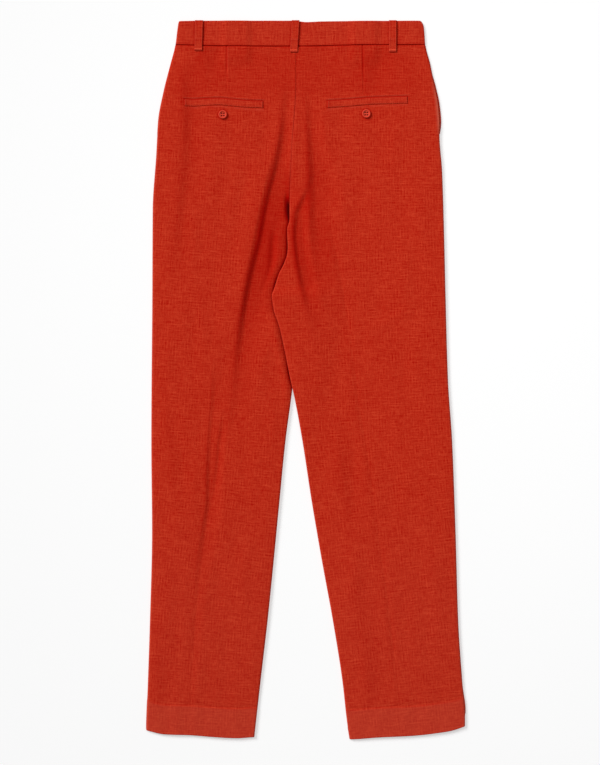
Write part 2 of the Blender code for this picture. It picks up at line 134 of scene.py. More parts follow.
def fold(*rows, sides=(), crisp=0):
    # columns: drop, x, depth, half-widths on the left and on the right, and crispness, which is 1
    # for a sharp line and 0 for a soft one. What stays the same is given once, after the rows.
    return Table(*[(*row, *sides, crisp)[:6] for row in rows])


# folds and creases of the back; a valley has a negative depth
valleys = [
    fold(   # across the left seat and down the inner left thigh
        (88, -20, 0, 9, 14), (122, -26, -0.8, 11, 15), (158, -29.6, -1.65, 9, 16),
        (187, -33.7, -2.2, 9, 18), (212, -39, -2.7, 9, 24), (237, -45.4, -3.3, 9.5, 46),
        (274, -52.7, -3.9, 10.5, 80), (317, -60.2, -4.15, 11, 80), (361, -70.9, -4, 11.5, 60),
        (404, -80.4, -3.6, 10.8, 54), (448, -87.8, -2.8, 11, 50), (491, -91.8, -1.7, 13, 34),
        (535, -94.5, -0.9, 14, 26), (570, -99, -0.5, 14, 24), (610, -106, 0, 14, 22),
    ),
    fold(   # from the end of the centre back seam into the right thigh
        (246, 4, 0, 7, 10), (262, -2, -1.3, 9, 13), (281, -8.6, -2.7, 10, 15),
        (310, -10.5, -3.8, 9.5, 17), (339, -8, -3.8, 9.5, 18), (368, -3.3, -3.2, 9.5, 20),
        (397, 2.7, -2.1, 9.5, 20), (426, 11, -0.7, 10, 20), (462, 20, 0, 11, 20),
    ),
    fold(   # down the right seat beside the centre back seam
        (92, 4, 0, 8, 16), (129, 7.5, -0.9, 9, 18), (172, 10.3, -2, 10, 20),
        (216, 14.8, -2.7, 13, 32), (238, 16.2, -2.8, 14, 38), (262, 16, -2.5, 14, 42),
        (303, 19.5, -1.2, 16, 42), (350, 27, 0, 18, 36),
    ),
    fold(   # the cloth stands up along the upper side of the first
        (140, -37, 0, 26, 7), (187, -46, 0.7, 28, 7), (230, -59, 1.1, 32, 7), (290, -72, 1.5, 34, 7),
        (340, -82, 1.5, 34, 7), (385, -91, 1.2, 32, 7), (430, -100, 0.6, 30, 8), (480, -109, 0, 28, 10),
    ),
]
fineCreases = [
    fold(   # pressed crease of the right leg
        (290, 33, 0, 9, 11, 1), (346, 46, -0.5, 8, 10, 0.8), (404, 56, -0.38, 8, 9, 0.9),
        (462, 65.4, -0.22, 8, 9), (549, 76, -0.3, 8, 9), (607, 86, -0.32, 8, 9),
        (665, 94.4, -0.32, 7, 8), (723, 102, -0.2, 8, 9), (781, 110, -0.3, 8, 11),
        (839, 119, -0.33, 8, 9), (897, 125, -0.4, 7, 9), (955, 132, -0.15, 8, 9),
        (1042, 140, -0.08, 8, 9), crisp=1,
    ),
    fold(   # pressed crease of the left leg
        (480, -129, 0, 7, 16), (535, -131, -0.6, 7, 18), (607, -137, -1, 7, 20),
        (651, -138.5, -1.4, 7, 22), (694, -139, -1.6, 7, 22), (738, -144.5, -1.2, 8, 20),
        (781, -150, -0.8, 9, 18, 0.3), (839, -157, -0.4, 7, 14, 0.6), (897, -161.5, -0.32, 7, 12, 0.8),
        (955, -165, -0.25, 7, 10, 0.9), (1042, -168, -0.1, 7, 10, 1), crisp=0.2,
    ),
    fold(   # the end of the left thigh's fold, running into the pressed crease
        (560, -117, 0, 5, 9), (585, -120, -0.6, 5, 10), (607, -123.5, -1, 5, 10),
        (651, -128, -0.8, 5, 10), (690, -134, -0.3, 5, 8), (715, -139, 0, 5, 8), crisp=0.4,
    ),
    fold(   # soft hollow beside the left hip
        (60, -172, 0, 12, 26), (85, -169, -0.9, 14, 28), (118, -166, -1.4, 15, 30),
        (150, -164, -1.3, 15, 30), (200, -165, -1, 15, 30), (259, -172, -0.8, 14, 26),
        (310, -178, -0.6, 14, 22), (380, -186, 0, 14, 20),
    ),
    fold(   # outer left thigh
        (540, -194, 0), (595, -190, -0.45), (640, -184, -0.3), (700, -182, 0), sides=(12, 16),
    ),
    fold(   # ridge along the lapping edge, which rolls down under it
        (285, -33, 0, 7, 5), (300, -35, 0.5, 8, 6), (317, -36, 1, 9, 7), (332, -36, 1.2, 9, 8),
        (350, -41, 1, 9, 8), (365, -48, 0.8, 8, 8), (381, -54, 0.5, 7, 7), (397, -58, 0.2, 6, 6),
        (420, -57, 0.2, 7, 7), (445, -47, 0.3, 8, 8), (480, -38, 0.4, 9, 8), (510, -32, 0.7, 9, 8),
        (530, -27, 0.9, 9, 7), (550, -29, 0.5, 9, 7), (590, -34, 0, 9, 7),
    ),
    fold(   # dip on its left
        (300, -46, 0, 5, 6, 0.3), (325, -48, -1.15, 6, 7, 0.3), (350, -48.5, -1.35, 7, 7, 0.3),
        (375, -56, -0.7, 6, 7, 0.4), (400, -66, 0, 6, 7, 0.5),
    ),
    fold(   # short fold above the end of the centre back seam, on the right
        (222, 11, 0, 6, 7), (243, 5, -0.5, 7, 7), (264, -4, -0.6, 7, 7), (285, -12, 0, 6, 6),
    ),
    fold(   # hollows under the waistband
        (38, -150, 0, 16, 26), (48, -134, -0.8, 18, 22), (62, -128, -0.7, 20, 20), (84, -130, 0, 20, 20),
    ),
    fold((36, 104, 0, 22, 22), (58, 108, -0.8, 24, 24), (90, 106, -0.7, 24, 24), (112, 104, 0, 24, 24)),
    fold(   # right thigh and knee
        (560, 52, 0, 14, 20), (640, 62, -0.55, 15, 22), (700, 70, -0.45, 15, 22), (780, 78, 0, 15, 22),
    ),
    fold((800, 84, 0, 18, 24), (880, 96, -0.5, 20, 26), (950, 106, -0.5, 20, 26), (1000, 112, 0, 20, 26)),
    fold(   # left shin
        (820, -196, 0, 16, 20), (900, -200, -0.5, 18, 22), (960, -203, -0.4, 18, 22),
        (1005, -206, 0, 18, 22),
    ),
    fold(   # slack lines that cross the right thigh
        (395, 165, 0, 10, 30), (420, 140, 0.25, 14, 34), (440, 110, 0.25, 20, 30), (455, 90, 0, 20, 20),
    ),
]
# shallow creases pressed into the fronts, with a depth off the surface
frontCreases = [
    fold((250, -108, 0), (420, -112, 0.4), (640, -128, 0.5), (820, -145, 0.35), (1030, -158, 0.1),
         sides=(5, 8), crisp=0.8),
    fold((210, 92, 0), (380, 98, 0.45), (600, 116, 0.4), (860, 138, 0.5), (1030, 148, 0.1),
         sides=(8, 5), crisp=0.8),
    fold((180, -40, 0, 14, 10), (260, -62, 0.8, 15, 10), (350, -84, 0.7, 15, 10), (450, -98, 0, 14, 10),
         crisp=0.1),
    fold((200, 22, 0), (290, 44, 0.7), (370, 62, 0.55), (430, 74, 0), sides=(10, 15), crisp=0.1),
    fold((300, -150, 0, 9, 9), (330, -120, 0.3, 12, 12), (345, -90, 0, 9, 9), crisp=0.2),
    fold((560, 60, 0, 12, 18), (660, 80, 0.4, 14, 20), (790, 96, 0, 14, 18)),
    fold((600, -186, 0, 12, 12), (720, -184, 0.4, 14, 14), (880, -196, 0, 12, 12)),
]
# how the left back rolls down under the edge that laps over it, with painted shade there; columns: drop,
# depth, reach, shade
underLap = Table(
    (250, 0, 3, 0), (262, 1, 3, 0.6), (290, 1, 3.5, 0.9), (303, 1.2, 4, 0.9), (317, 2, 5, 1.2),
    (332, 2.6, 5.5, 1.5), (345, 2.4, 4.5, 1.2), (355, 2.6, 4.5, 1.6), (364, 2, 4, 1),
    (372, 2.2, 4, 1.2), (381, 2.4, 4, 1.6), (390, 1.6, 3.5, 1), (399, 0.5, 3, 0.3),
    (410, 0.7, 3, 0.5), (422, 0.9, 3, 0.6), (470, 0.9, 3, 0.6), (491, 1.3, 4, 0.9),
    (513, 2.4, 5.5, 1.6), (530, 2, 5.5, 1.2), (545, 0.8, 6, 0.4), (556, 0, 6, 0),
)
# middle of each welt; columns: x, drop
weltLines = {
    "left": Table(
        (-175.9, 118.6), (-161, 119.3), (-146, 118.2), (-127, 117.6), (-110, 118.8), (-95.6, 120.3),
        (-81, 121.3), (-61.9, 121.8),
    ),
    "right": Table(
        (31.1, 121.3), (52.3, 120.2), (66.8, 119.1), (84.2, 117.6), (95.8, 116.7), (113.2, 116.1),
        (146.9, 115.1),
    ),
}

laid = {                    # how the cloth lies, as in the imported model
    "wall": 1.1, "bandWall": 1.4, "gap": 0.3, "bandDepth": 35.0,
    "rise": 3.0,            # of the back over its lowest
    "waistHold": 0.75, "hemHold": 0.4,      # shares of it that are held down
    "crotch": 404.0, "lapStart": 250.0, "lapFull": 272.0, "climbFoot": 15.0,
    "loopAcross": (26.0, 12.5), "loopDown": (70.0, 50.0),   # where cloth over a loop comes down
}
cloth = {                   # the thin shells
    "wall": 0.6, "hemWall": 1.15, "turnUp": 42.0,
    "edgeReach": 3.0,       # the width over which an edge rolls over
    "edgeFall": 1.4,        # and how far, so that back and front meet half way
    "seamReach": 1.3, "seamFall": 0.28, "seamClosing": 0.12,
    "tuck": 3.0,            # what goes under the waistband
    "rippleSlope": 0.014,
}
loops = {
    "wall": 1.0, "bow": 0.9, "frontWidth": 10.6, "rounding": 0.14,
    "edgeWelt": ((0.82, 0.1, 0.14), (0.62, 0.07, -0.10)),   # columns: place across, width, height
    # columns: name, x and width at the top, x and width at the end, drop at the end, node
    "back": [
        ("beltLoopBackLeft", -154.7, 12.0, -155.9, 11.2, 43.5, "belt_loop_back_left"),
        ("beltLoopBackCentre", -14.9, 11.2, -17.6, 11.0, 45.8, "belt_loop_back_centre"),
        ("beltLoopBackRight", 125.8, 11.0, 125.6, 10.8, 45.4, "belt_loop_back_right"),
    ],
    "front": [
        ("beltLoopFrontLeft", -101.0, 42.0, "belt_loop_front_left"),
        ("beltLoopFrontRight", 85.0, 42.0, "belt_loop_front_right"),
    ],
    # columns: place along the strip, drop as a share of its length, lift off what it lies on
    "path": Table(
        (0, -0.01, -1.6), (0.03, -0.01, -0.7), (0.06, -0.004, 0.02), (0.09, 0.01, 0.18),
        (0.15, 0.06, 0.45), (0.32, 0.25, 1), (0.55, 0.5, 1), (0.62, 0.575, 0.95),
        (0.75, 0.72, 0.55), (0.92, 0.9, 0.12), (1, 1, 0),
    ),
}
welts = {
    "width": 9.9, "wall": 0.85, "gap": 0.1,
    # on the cloth around; columns: place down from the middle, width, strength
    "drawnDown": ((-5.4, 1.1, 0.45), (-7.6, 1.2, -0.25), (5.5, 1.3, 0.2)),
    # painted shade along the welt's upper and lower edges
    "shade": ((-5.3, 0.8, 0.8), (5.3, 0.8, 0.2)),
    "stitched": ((-7.1, 0.8, 0.42), (7.1, 0.8, 0.34)),
}
darts = {                   # columns: place across the dart's line, width, height or strength
    "left": ((-1.6, 1.4, -0.42), (0.78, 1.26, 0.24)),       # a groove
    "right": ((-2.48, 1.26, 0.26), (-0.66, 1.12, -0.36)),   # a narrow ridge
    # painted shade beside each dart, and a painted highlight on the lit side of the left dart's groove
    "leftShade": ((-1.9, 0.9, 0.65),), "rightShade": ((-0.8, 0.9, 0.75),),
    "leftHighlight": ((0.4, 0.9, 0.2),),
}
pit = {                     # dug out, and darkened with painted shade, where the centre back seam ends
    "x": -27.06, "drop": 274.0, "halfWide": 3.4, "halfLong": 18.0, "lean": 0.06, "depth": 3.8,
    "leastTop": 1.28,
}
band = {
    "wall": 1.25, "crown": 0.5, "crownReach": 14.0, "endFall": 1.05, "allowance": 0.12,
    "topFall": 0.75, "topReach": 1.1, "seamFall": 0.6, "seamReach": 1.2,
}
button = {
    "holeRadius": 1.1, "holeCircle": 2.5, "sides": 48,
    # columns: radius, height, from the middle of the face round to the middle of the back
    "profile": [
        (0.0, 1.32), (1.2, 1.32), (3.7, 1.36), (4.05, 1.5), (4.35, 1.85), (4.65, 2.15),
        (5.0, 2.3), (5.4, 2.3), (5.8, 2.12), (6.1, 1.8), (6.25, 1.4), (6.2, 0.95),
        (5.95, 0.5), (5.4, 0.15), (4.6, 0.0), (0.0, 0.0),
    ],
    "places": {"left": (-120.3, 136.3, "button_left"), "right": (87.5, 135.1, "button_right")},
}
mouths = {                  # of the slanted front pockets
    "width": 38.0, "length": 135.0, "sewnTo": 160.0, "stitchInset": 5.5, "facingReach": 12.0,
    "stitchStart": 3.0,
}
layer = laid["wall"] + laid["gap"]
bandDepth, edgeReach, edgeFall = laid["bandDepth"], cloth["edgeReach"], cloth["edgeFall"]
crotch, lapStart = laid["crotch"], laid["lapStart"]


def ease(value, start, end):
    # 0 at start and 1 at end, with soft ends; start may be the larger
    t = np.clip((value - start) / (end - start), 0.0, 1.0)
    return t * t * (3.0 - 2.0 * t)


def bell(away, width):
    return np.exp(-(away / width) ** 2)


def bells(where, rows):
    # columns of rows: place, width, height
    return sum(height * bell(where - at, width) for at, width, height in rows)


def roll(inside, width, least=0.0):
    # rises from least at an edge to 1 at width inside it, as cloth does at a fold
    return least + (1.0 - least) * (1.0 - (1.0 - np.clip(inside / width, 0.0, 1.0)) ** 2)


def fallAtEdge(inside, reach):
    # 1 at an edge and 0 at reach inside it, on a quarter of an ellipse
    return 1.0 - np.sqrt(1.0 - (1.0 - np.clip(inside / reach, 0.0, 1.0)) ** 2)


def place(x, drop, height):
    # points in the scene's metres
    x, drop, height = np.broadcast_arrays(x, drop, height)
    return np.stack((x * mm, (waistY - drop) * mm, height * mm), axis=-1)


# edges of the panels

def beside(line, shift):
    return lambda drop: line(drop) + shift


def pocketMouth(drop):
    return mouths["width"] * np.clip(1.0 - (drop - bandDepth) / mouths["length"], 0.0, 1.0)


def leftMouthX(drop):
    return leftSide(drop) + pocketMouth(drop)


def rightHip(drop):
    return rightSide(drop) + pocketBulge(drop)


def rightMouthX(drop):
    return rightHip(drop) - pocketMouth(drop)


def standsOut(drop):
    # 0 to 1, where the right pocket's mouth stands out
    return np.clip(pocketBulge(drop) / 2.2, 0.0, 1.0)


def seamX(inner, closing):
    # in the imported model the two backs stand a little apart; here the seam is closed
    def line(drop):
        return inner(drop) + 1.3 * ease(drop, lapStart, 200.0) + closing * ease(drop, lapStart, 240.0)
    return line


leftSeamX = seamX(leftBackInner, cloth["seamClosing"])
rightSeamX = seamX(rightBackInner, -cloth["seamClosing"])


def rightFrontInner(drop):
    lapped = ease(drop, crotch, crotch + 24.0)
    seam = centreFront(drop) + 0.06
    return seam + lapped * (rightBackInner(drop) - seam)


def leftFrontInner(drop):
    return np.where(drop < crotch, centreFront(drop), leftInseam(drop))


def leftFrontMiddle(drop):
    return (leftMouthX(drop) + leftFrontInner(drop)) / 2.0


def rightFrontMiddle(drop):
    # where the right front has come down off the left leg
    return np.maximum(rightFrontInner(drop) + 8.0, leftBackInner(drop)) + laid["climbFoot"]


# heights

def loopRise(x, drop):
    # the two front belt loops hold the cloth off the surface
    nearest = np.minimum(*[np.abs(x - loop[1]) for loop in loops["front"]])
    return layer * ease(nearest, *laid["loopAcross"]) * ease(drop, *laid["loopDown"])


def climbOverLeftLeg(x, drop, foot=laid["climbFoot"], top=1.5):
    climbed = ease(drop, crotch - 36.0, crotch - 3.0)
    return 2.0 * layer * ease(x - leftInseam(drop), foot, top) * climbed


def foldParts(x, drop, folds):
    # of each fold: depth, place across its left wall, share of its half-width, crispness
    for rows in folds:
        away = x - rows(drop)
        left, right = rows(drop, 3), rows(drop, 4)
        t = np.minimum(np.abs(away) / np.where(away < 0.0, left, right), 1.0)
        yield rows(drop, 2), away / left, t, rows(drop, 5)


def foldHeight(x, drop, folds):
    return sum(
        depth * ((1.0 - crisp) * (1.0 - t * t) ** 2 + crisp * (1.0 - t) ** 2)
        for depth, _, t, crisp in foldParts(x, drop, folds)
    )


def foldShade(x, drop, folds):
    # 0 to 1, painted shade, most on a fold's left wall, which faces away from the light
    return sum(
        np.clip(-depth / 4.2, 0.0, 1.0) ** 0.9 * (0.8 * bell(wall + 0.82, 0.46) + 0.36 * (1.0 - t * t) ** 2)
        for depth, wall, t, _ in foldParts(x, drop, folds)
    )


def ripples(x, drop, seed, slope, across=(20.0, 75.0), along=(90.0, 420.0), count=28):
    # a low swell of the cloth, longer down the leg than across it
    draw = np.random.default_rng(seed)
    total = 0.0
    for _ in range(count):
        acrossRate = 2.0 * math.pi / draw.uniform(*across)
        alongRate = 2.0 * math.pi / draw.uniform(*along) * draw.choice((-1.0, 1.0))
        total = total + np.cos(acrossRate * x + alongRate * drop + draw.uniform(0.0, 6.3)) / acrossRate
    return total * slope / math.sqrt(count / 2.0)


def pucker(inside, drop, seed):
    # seam thread draws the cloth up a little along an edge
    draw = np.random.default_rng(seed)
    total = 0.0
    for _ in range(5):
        total = total + np.cos(drop * 2.0 * math.pi / draw.uniform(7.0, 19.0) + draw.uniform(0.0, 6.3))
    return 0.045 * total * ease(inside, 9.0, 2.5) * ease(inside, 0.0, 1.5)


def standing(x, drop, seed, firstShare=1.0):
    # how high a back stands; firstShare is what it has of the first valley
    atWaist = 1.0 - laid["waistHold"] * ease(drop, 110.0, bandDepth)
    atHem = 1.0 - laid["hemHold"] * ease(drop, 880.0, 1030.0)
    folded = firstShare * foldHeight(x, drop, valleys[:1]) + foldHeight(x, drop, valleys[1:])
    height = laid["rise"] * atWaist * atHem + folded
    height = 0.5 * (height + np.sqrt(height * height + 0.16))
    return height + foldHeight(x, drop, fineCreases) + ripples(x, drop, seed, cloth["rippleSlope"])


def hemRidge(x, drop):
    # the turned-up layer lifts the cloth above the hem
    past = hem(x) - drop - cloth["turnUp"]
    return 0.34 * ease(past, 1.6, -1.0) - 0.22 * bell(past - 2.2, 2.0)


def waistDip(x, drop, depth=0.85, reach=2.4):
    # cloth goes down and under the waistband at its seam
    return depth * ease(drop - waistSeam(x), reach, 0.1)


def alongWelts(x, drop, outside, inside):
    # for each welt its line, how far down from it, and 1 between its ends
    for line in weltLines.values():
        started = ease(x, line.start - outside, line.start + inside)
        yield line, drop - line(x), started * ease(x, line.end + outside, line.end - inside)


def besideWelts(x, drop):
    # the cloth is drawn down along the pocket openings, and stands up a little above them
    return sum(
        ends * bells(off, welts["drawnDown"]) for _, off, ends in alongWelts(x, drop, 3.0, 1.0)
    )


def shadeAtWelts(x, drop):
    total = 0.0
    for line, off, ends in alongWelts(x, drop, 2.0, 0.5):
        sides = bell(x - line.start + 0.3, 1.0) + bell(x - line.end - 0.3, 1.0)
        total = total + ends * bells(off, welts["shade"]) + 0.5 * sides * ease(np.abs(off), 6.2, 5.0)
    return total


def stitchedAtWelts(x, drop):
    # uneven lines of lighter thread above and below
    uneven = 0.6 + 0.4 * np.sin(x / 3.3) * np.sin(x / 9.0 + 1.0)
    return uneven * sum(
        ends * bells(off, welts["stitched"]) for _, off, ends in alongWelts(x, drop, 2.0, 0.0)
    )


def dartLine(x, drop):
    leftFade = ease(drop, 104.0, 60.0) * 0.8 + ease(drop, 108.0, 100.0) * 0.2
    left = bells(x - leftCrease(drop), darts["left"]) * leftFade
    return left + bells(x - rightCrease(drop), darts["right"]) * ease(drop, 112.0, 90.0)


def pitAt(x, drop):
    # 1 on the pit's flat floor
    down = drop - pit["drop"]
    across = x - pit["x"] - pit["lean"] * down
    return bell((across / pit["halfWide"]) ** 2 + (down / pit["halfLong"]) ** 2, 1.0)


def leftBackTop(x, drop):
    tucked = ease(drop, lapStart - 10.0, laid["lapFull"])
    shownInner = np.minimum(rightBackInner(drop), leftInseam(drop))
    belowCrotch = ease(drop, crotch + 60.0, crotch + 150.0)
    inner = roll(shownInner + 1.0 - x, 24.0 - 12.0 * ease(drop, 405.0, 440.0))
    inner += belowCrotch * (roll(shownInner - x, 38.0, 0.68) - inner)
    fromSide = x - leftSide(drop)
    fromInner = leftSeamX(drop) - x
    top = loopRise(x, drop) + laid["wall"] + layer
    top = top + standing(x, drop, 11) * (1.0 - tucked * (1.0 - inner)) * roll(fromSide, 40.0, 0.5)
    top = top + pucker(fromSide, drop, 3) + dartLine(x, drop) - besideWelts(x, drop)
    # dug out at the pit, and rolled down along the edge that laps over
    toLap = (rightBackInner(drop) - x) / underLap(drop, 2)
    dug = underLap(drop) * (1.0 - np.clip(toLap, 0.0, 1.0)) ** 2 * ease(toLap, -2.6, -1.2)
    top = np.maximum(top - pit["depth"] * pitAt(x, drop) - dug, np.minimum(top, pit["leastTop"]))
    # the seam's allowances are pressed to this side
    seamed = ease(drop, lapStart, lapStart - 15.0)
    top = top + seamed * 0.16 * ease(fromInner, 5.0, 3.4)
    top = top - seamed * cloth["seamFall"] * fallAtEdge(fromInner, cloth["seamReach"])
    parted = ease(drop, crotch - 6.0, crotch + 6.0)
    top = top - parted * (edgeFall + 0.5 * belowCrotch) * fallAtEdge(fromInner, edgeReach)
    top = top - (edgeFall + 0.5) * fallAtEdge(fromSide, edgeReach)
    # clear of the front below
    return np.maximum(top + hemRidge(x, drop) - waistDip(x, drop), 1.0)


def rightBackTop(x, drop):
    parted = ease(drop, lapStart, laid["lapFull"])
    fromInner = x - rightSeamX(drop)
    fromSide = rightSide(drop) - x
    low = 0.4 + 0.2 * ease(drop, crotch, crotch + 60.0)
    atInner = 1.0 - parted * low * (1.0 - roll(fromInner, 36.0 + 24.0 * ease(drop, 380.0, 440.0)))
    # this cloth runs down off the left leg more gently than the front below it
    lapped = layer * ease(x - leftBackInner(drop), 38.0, -2.0) * parted
    carried = np.maximum(climbOverLeftLeg(x, drop, 68.0, -6.0), lapped)
    top = np.maximum(carried, loopRise(x, drop)) + laid["wall"] + layer
    top = top + standing(x, drop, 23, ease(drop, 285.0, 240.0)) * atInner * roll(fromSide, 40.0, 0.62)
    top = top + pucker(fromSide, drop, 5) + dartLine(x, drop) - besideWelts(x, drop)
    top = top - (1.0 - parted) * cloth["seamFall"] * fallAtEdge(fromInner, cloth["seamReach"])
    fall = 1.4 + (edgeFall - 0.7) * ease(drop, crotch - 6.0, crotch + 14.0)
    top = top - parted * fall * fallAtEdge(fromInner, 2.2)
    fall = (edgeFall + 0.5) * (1.0 - 0.85 * standsOut(drop))
    return top - fall * fallAtEdge(fromSide, edgeReach) + hemRidge(x, drop) - waistDip(x, drop)


def panelTop(x, drop):
    # the back's own surface, whichever leg it is
    return np.where(x < leftSeamX(drop), leftBackTop(x, drop), rightBackTop(x, drop))


def bandFall(drop, fromEnds):
    # how far the waistband's edges roll over
    atTop = band["topFall"] * fallAtEdge(drop, band["topReach"])
    atSeam = band["seamFall"] * fallAtEdge(bandDepth - drop, band["seamReach"])
    return atTop + atSeam + band["endFall"] * fallAtEdge(fromEnds, edgeReach)


def bandTop(x, drop):
    fromEnds = np.minimum(x - leftSide(drop), rightSide(drop) - x)
    top = loopRise(x, drop) + 2.0 * laid["bandWall"] + laid["gap"] - bandFall(drop, fromEnds)
    top = top + ripples(x, drop, 31, 0.010, (25.0, 90.0), (40.0, 160.0), 18)
    top = top + band["crown"] * roll(fromEnds, band["crownReach"])
    return top + band["allowance"] * ease(bandDepth - drop, 9.5, 8.0)


def frontHeight(x, drop, under, fromSide, fromInner):
    # lowest face of a front: the side seam and the inseam curl up to meet the back
    height = under + foldHeight(x, drop, frontCreases) * roll(fromSide, 20.0) * roll(fromInner, 16.0)
    height = height + edgeFall * fallAtEdge(fromSide, edgeReach) * (1.0 - ease(drop, 172.0, 162.0))
    below = ease(drop, crotch - 6.0, crotch + 6.0)
    height = height + (1.0 - below) * 0.4 * fallAtEdge(fromInner, cloth["seamReach"])
    return height + below * edgeFall * fallAtEdge(fromInner, edgeReach) + waistDip(x, drop, 1.2, 2.6)


def frontLeftHeight(x, drop):
    return frontHeight(x, drop, loopRise(x, drop), x - leftMouthX(drop), leftFrontInner(drop) - x)


def frontRightHeight(x, drop):
    under = np.maximum(loopRise(x, drop), climbOverLeftLeg(x, drop))
    return frontHeight(x, drop, under, rightMouthX(drop) - x, x - rightFrontInner(drop))


# painted shade: the cloth's red is painted deeper and darker where shade falls, in folds, along seams and
# under the lapping edge

def shadeBack(x, drop, fromSide, fromSeam, seamWidth):
    # painted shade over the seat and under the yoke, a painted shadow under the waist seam, and painted shade
    # along the centre back seam, beside the darts and welts and in the folds
    seat = 0.22 * bell(x + 50.0, 26.0) * bell(drop - 325.0, 75.0)
    seat = seat + 0.3 * bell(x - 18.0, 24.0) * bell(drop - 350.0, 65.0)
    yoke = 0.2 * ease(drop, 125.0, 92.0) * ease(fromSide, 8.0, 42.0)
    waist = 0.75 * bell(np.maximum(drop - waistSeam(x) - 0.3, 0.0), 1.1)
    seam = 0.3 * bell(fromSeam, seamWidth) * ease(drop, lapStart + 8.0, lapStart - 8.0)
    atDarts = bells(x - leftCrease(drop), darts["leftShade"]) * ease(drop, 84.0, 58.0)
    atDarts = atDarts + bells(x - rightCrease(drop), darts["rightShade"]) * ease(drop, 92.0, 66.0)
    folded = foldShade(x, drop, valleys[1:]) + foldShade(x, drop, fineCreases)
    return folded + seam + shadeAtWelts(x, drop) + atDarts + seat + yoke + waist


def shadeLeftBack(x, drop):
    toLap = np.maximum(rightBackInner(drop) - x, 0.0)
    # painted shade above the pit, in it, and under the lapping edge
    above = 0.4 * bell(x + 26.0, 6.0) * ease(drop, 205.0, 240.0) * ease(drop, 300.0, 270.0)
    shade = foldShade(x, drop, valleys[:1]) + 0.85 * pitAt(x, drop) + above
    shade = shade + underLap(drop, 3) * bell(toLap, 2.6)
    return shade + shadeBack(x, drop, x - leftSide(drop), leftSeamX(drop) - x, 1.1)


def shadeRightBack(x, drop):
    shade = foldShade(x, drop, valleys[:1]) * ease(drop, 285.0, 240.0)
    return shade + shadeBack(x, drop, rightSide(drop) - x, x - rightSeamX(drop), 0.9)


def palerPanel(x, drop, side, inner):
    # paler at the hem's double layer and down the shins; painted highlights along the side and inner edges,
    # on the right hip's rim and beside the left dart; and the welts' lighter thread
    toHem = hem(x) - drop - cloth["turnUp"]
    paler = 0.17 * ease(toHem, 1.0, -1.5) + 0.06 * ease(drop, 620.0, 900.0)
    # painted highlight along the side and inner edges, and on the right hip's rim where it stands out
    rimHighlight = 0.3 * ease(np.abs(x - side), 3.4, 0.6) + 0.1 * ease(np.abs(x - inner), 3.2, 0.5)
    rimHighlight = rimHighlight + 0.7 * standsOut(drop) * ease(rightSide(drop) - x, 4.2, 1.8)
    # a painted highlight beside the left dart's groove
    dart = bells(x - leftCrease(drop), darts["leftHighlight"]) * ease(drop, 84.0, 58.0)
    return paler + stitchedAtWelts(x, drop) + dart + rimHighlight * ease(drop, 60.0, 130.0)


# rows bend to meet the waist seam, the top edge and the hem

def settlePanel(x, drop):
    seam = waistSeam(x) + laid["gap"] - bandDepth
    return drop + ease(drop, 90.0, bandDepth) * seam + ease(drop, 960.0, 1036.0) * (hem(x) - 1040.0)


def settleBand(x, drop):
    down = drop / bandDepth
    return drop + (1.0 - down) * waistTop(x) + down * (waistSeam(x) - bandDepth)


# grids

def steps(*zones):
    # places from the first zone's start to the last one's end; columns: start, end, step
    places = [zones[0][0]]
    for start, end, step in zones:
        count = max(round(abs(end - start) / step), 1)
        places += [start + (end - start) * (i + 1) / count for i in range(count)]
    return np.array(places, float)


def edgeInsets(reach):
    # closer and closer to an edge that rolls over
    return reach * (1.0 - np.cos(np.radians(np.arange(0.0, 91.0, 15.0))))


def withRims(start, end, reach, count):
    # places from start to end, closer and closer at both
    middle = np.linspace(start + reach, end - reach, count)[1:]
    return np.concatenate((start + edgeInsets(reach), middle, end - edgeInsets(reach)[::-1][1:]))


def acrossStrip(count):
    # places from -1 to 1 across a belt loop
    rim = np.cos(np.radians(np.linspace(60, 0, 6)))
    return np.concatenate((-rim[::-1], np.linspace(-0.5, 0.5, count)[1:-1], rim))


def columnsBetween(stops, counts):
    # x of every column in every row: stops are arrays, one x for each row
    insets = edgeInsets(edgeReach)
    first, last = stops[0][:, None] + insets, stops[-1][:, None] - insets[::-1]
    marks = [first[:, -1], *stops[1:-1], last[:, 0]]
    middle = [
        start[:, None] + (end - start)[:, None] * (np.arange(1, count + 1) / count)
        for start, end, count in zip(marks, marks[1:], counts)
    ]
    return np.concatenate([first, *middle, last[:, 1:]], axis=1)


def flatGrain(across, along):
    # the cloth's own metres, which the weave is drawn in
    return np.stack((across * mm, along * mm), axis=-1)


def grainOf(x, drop, crease):
    # the threads run down the leg along its crease, and across it
    lean = (crease(drop + 12.0) - crease(drop - 12.0)) / 24.0
    away = x - crease(drop)
    return flatGrain(away, drop + lean * away)


# of each point: the paler tone, which holds the hem's tone and painted highlights, and the painted shade
def toneAndPaintedLightOf(x, paler, paintedShade=0.0):
    return np.stack((np.broadcast_to(paler, x.shape), np.broadcast_to(paintedShade, x.shape)), axis=-1)


def newObject(name, data):
    made = bpy.data.objects.new(name, data)
    bpy.context.scene.collection.objects.link(made)
    return made


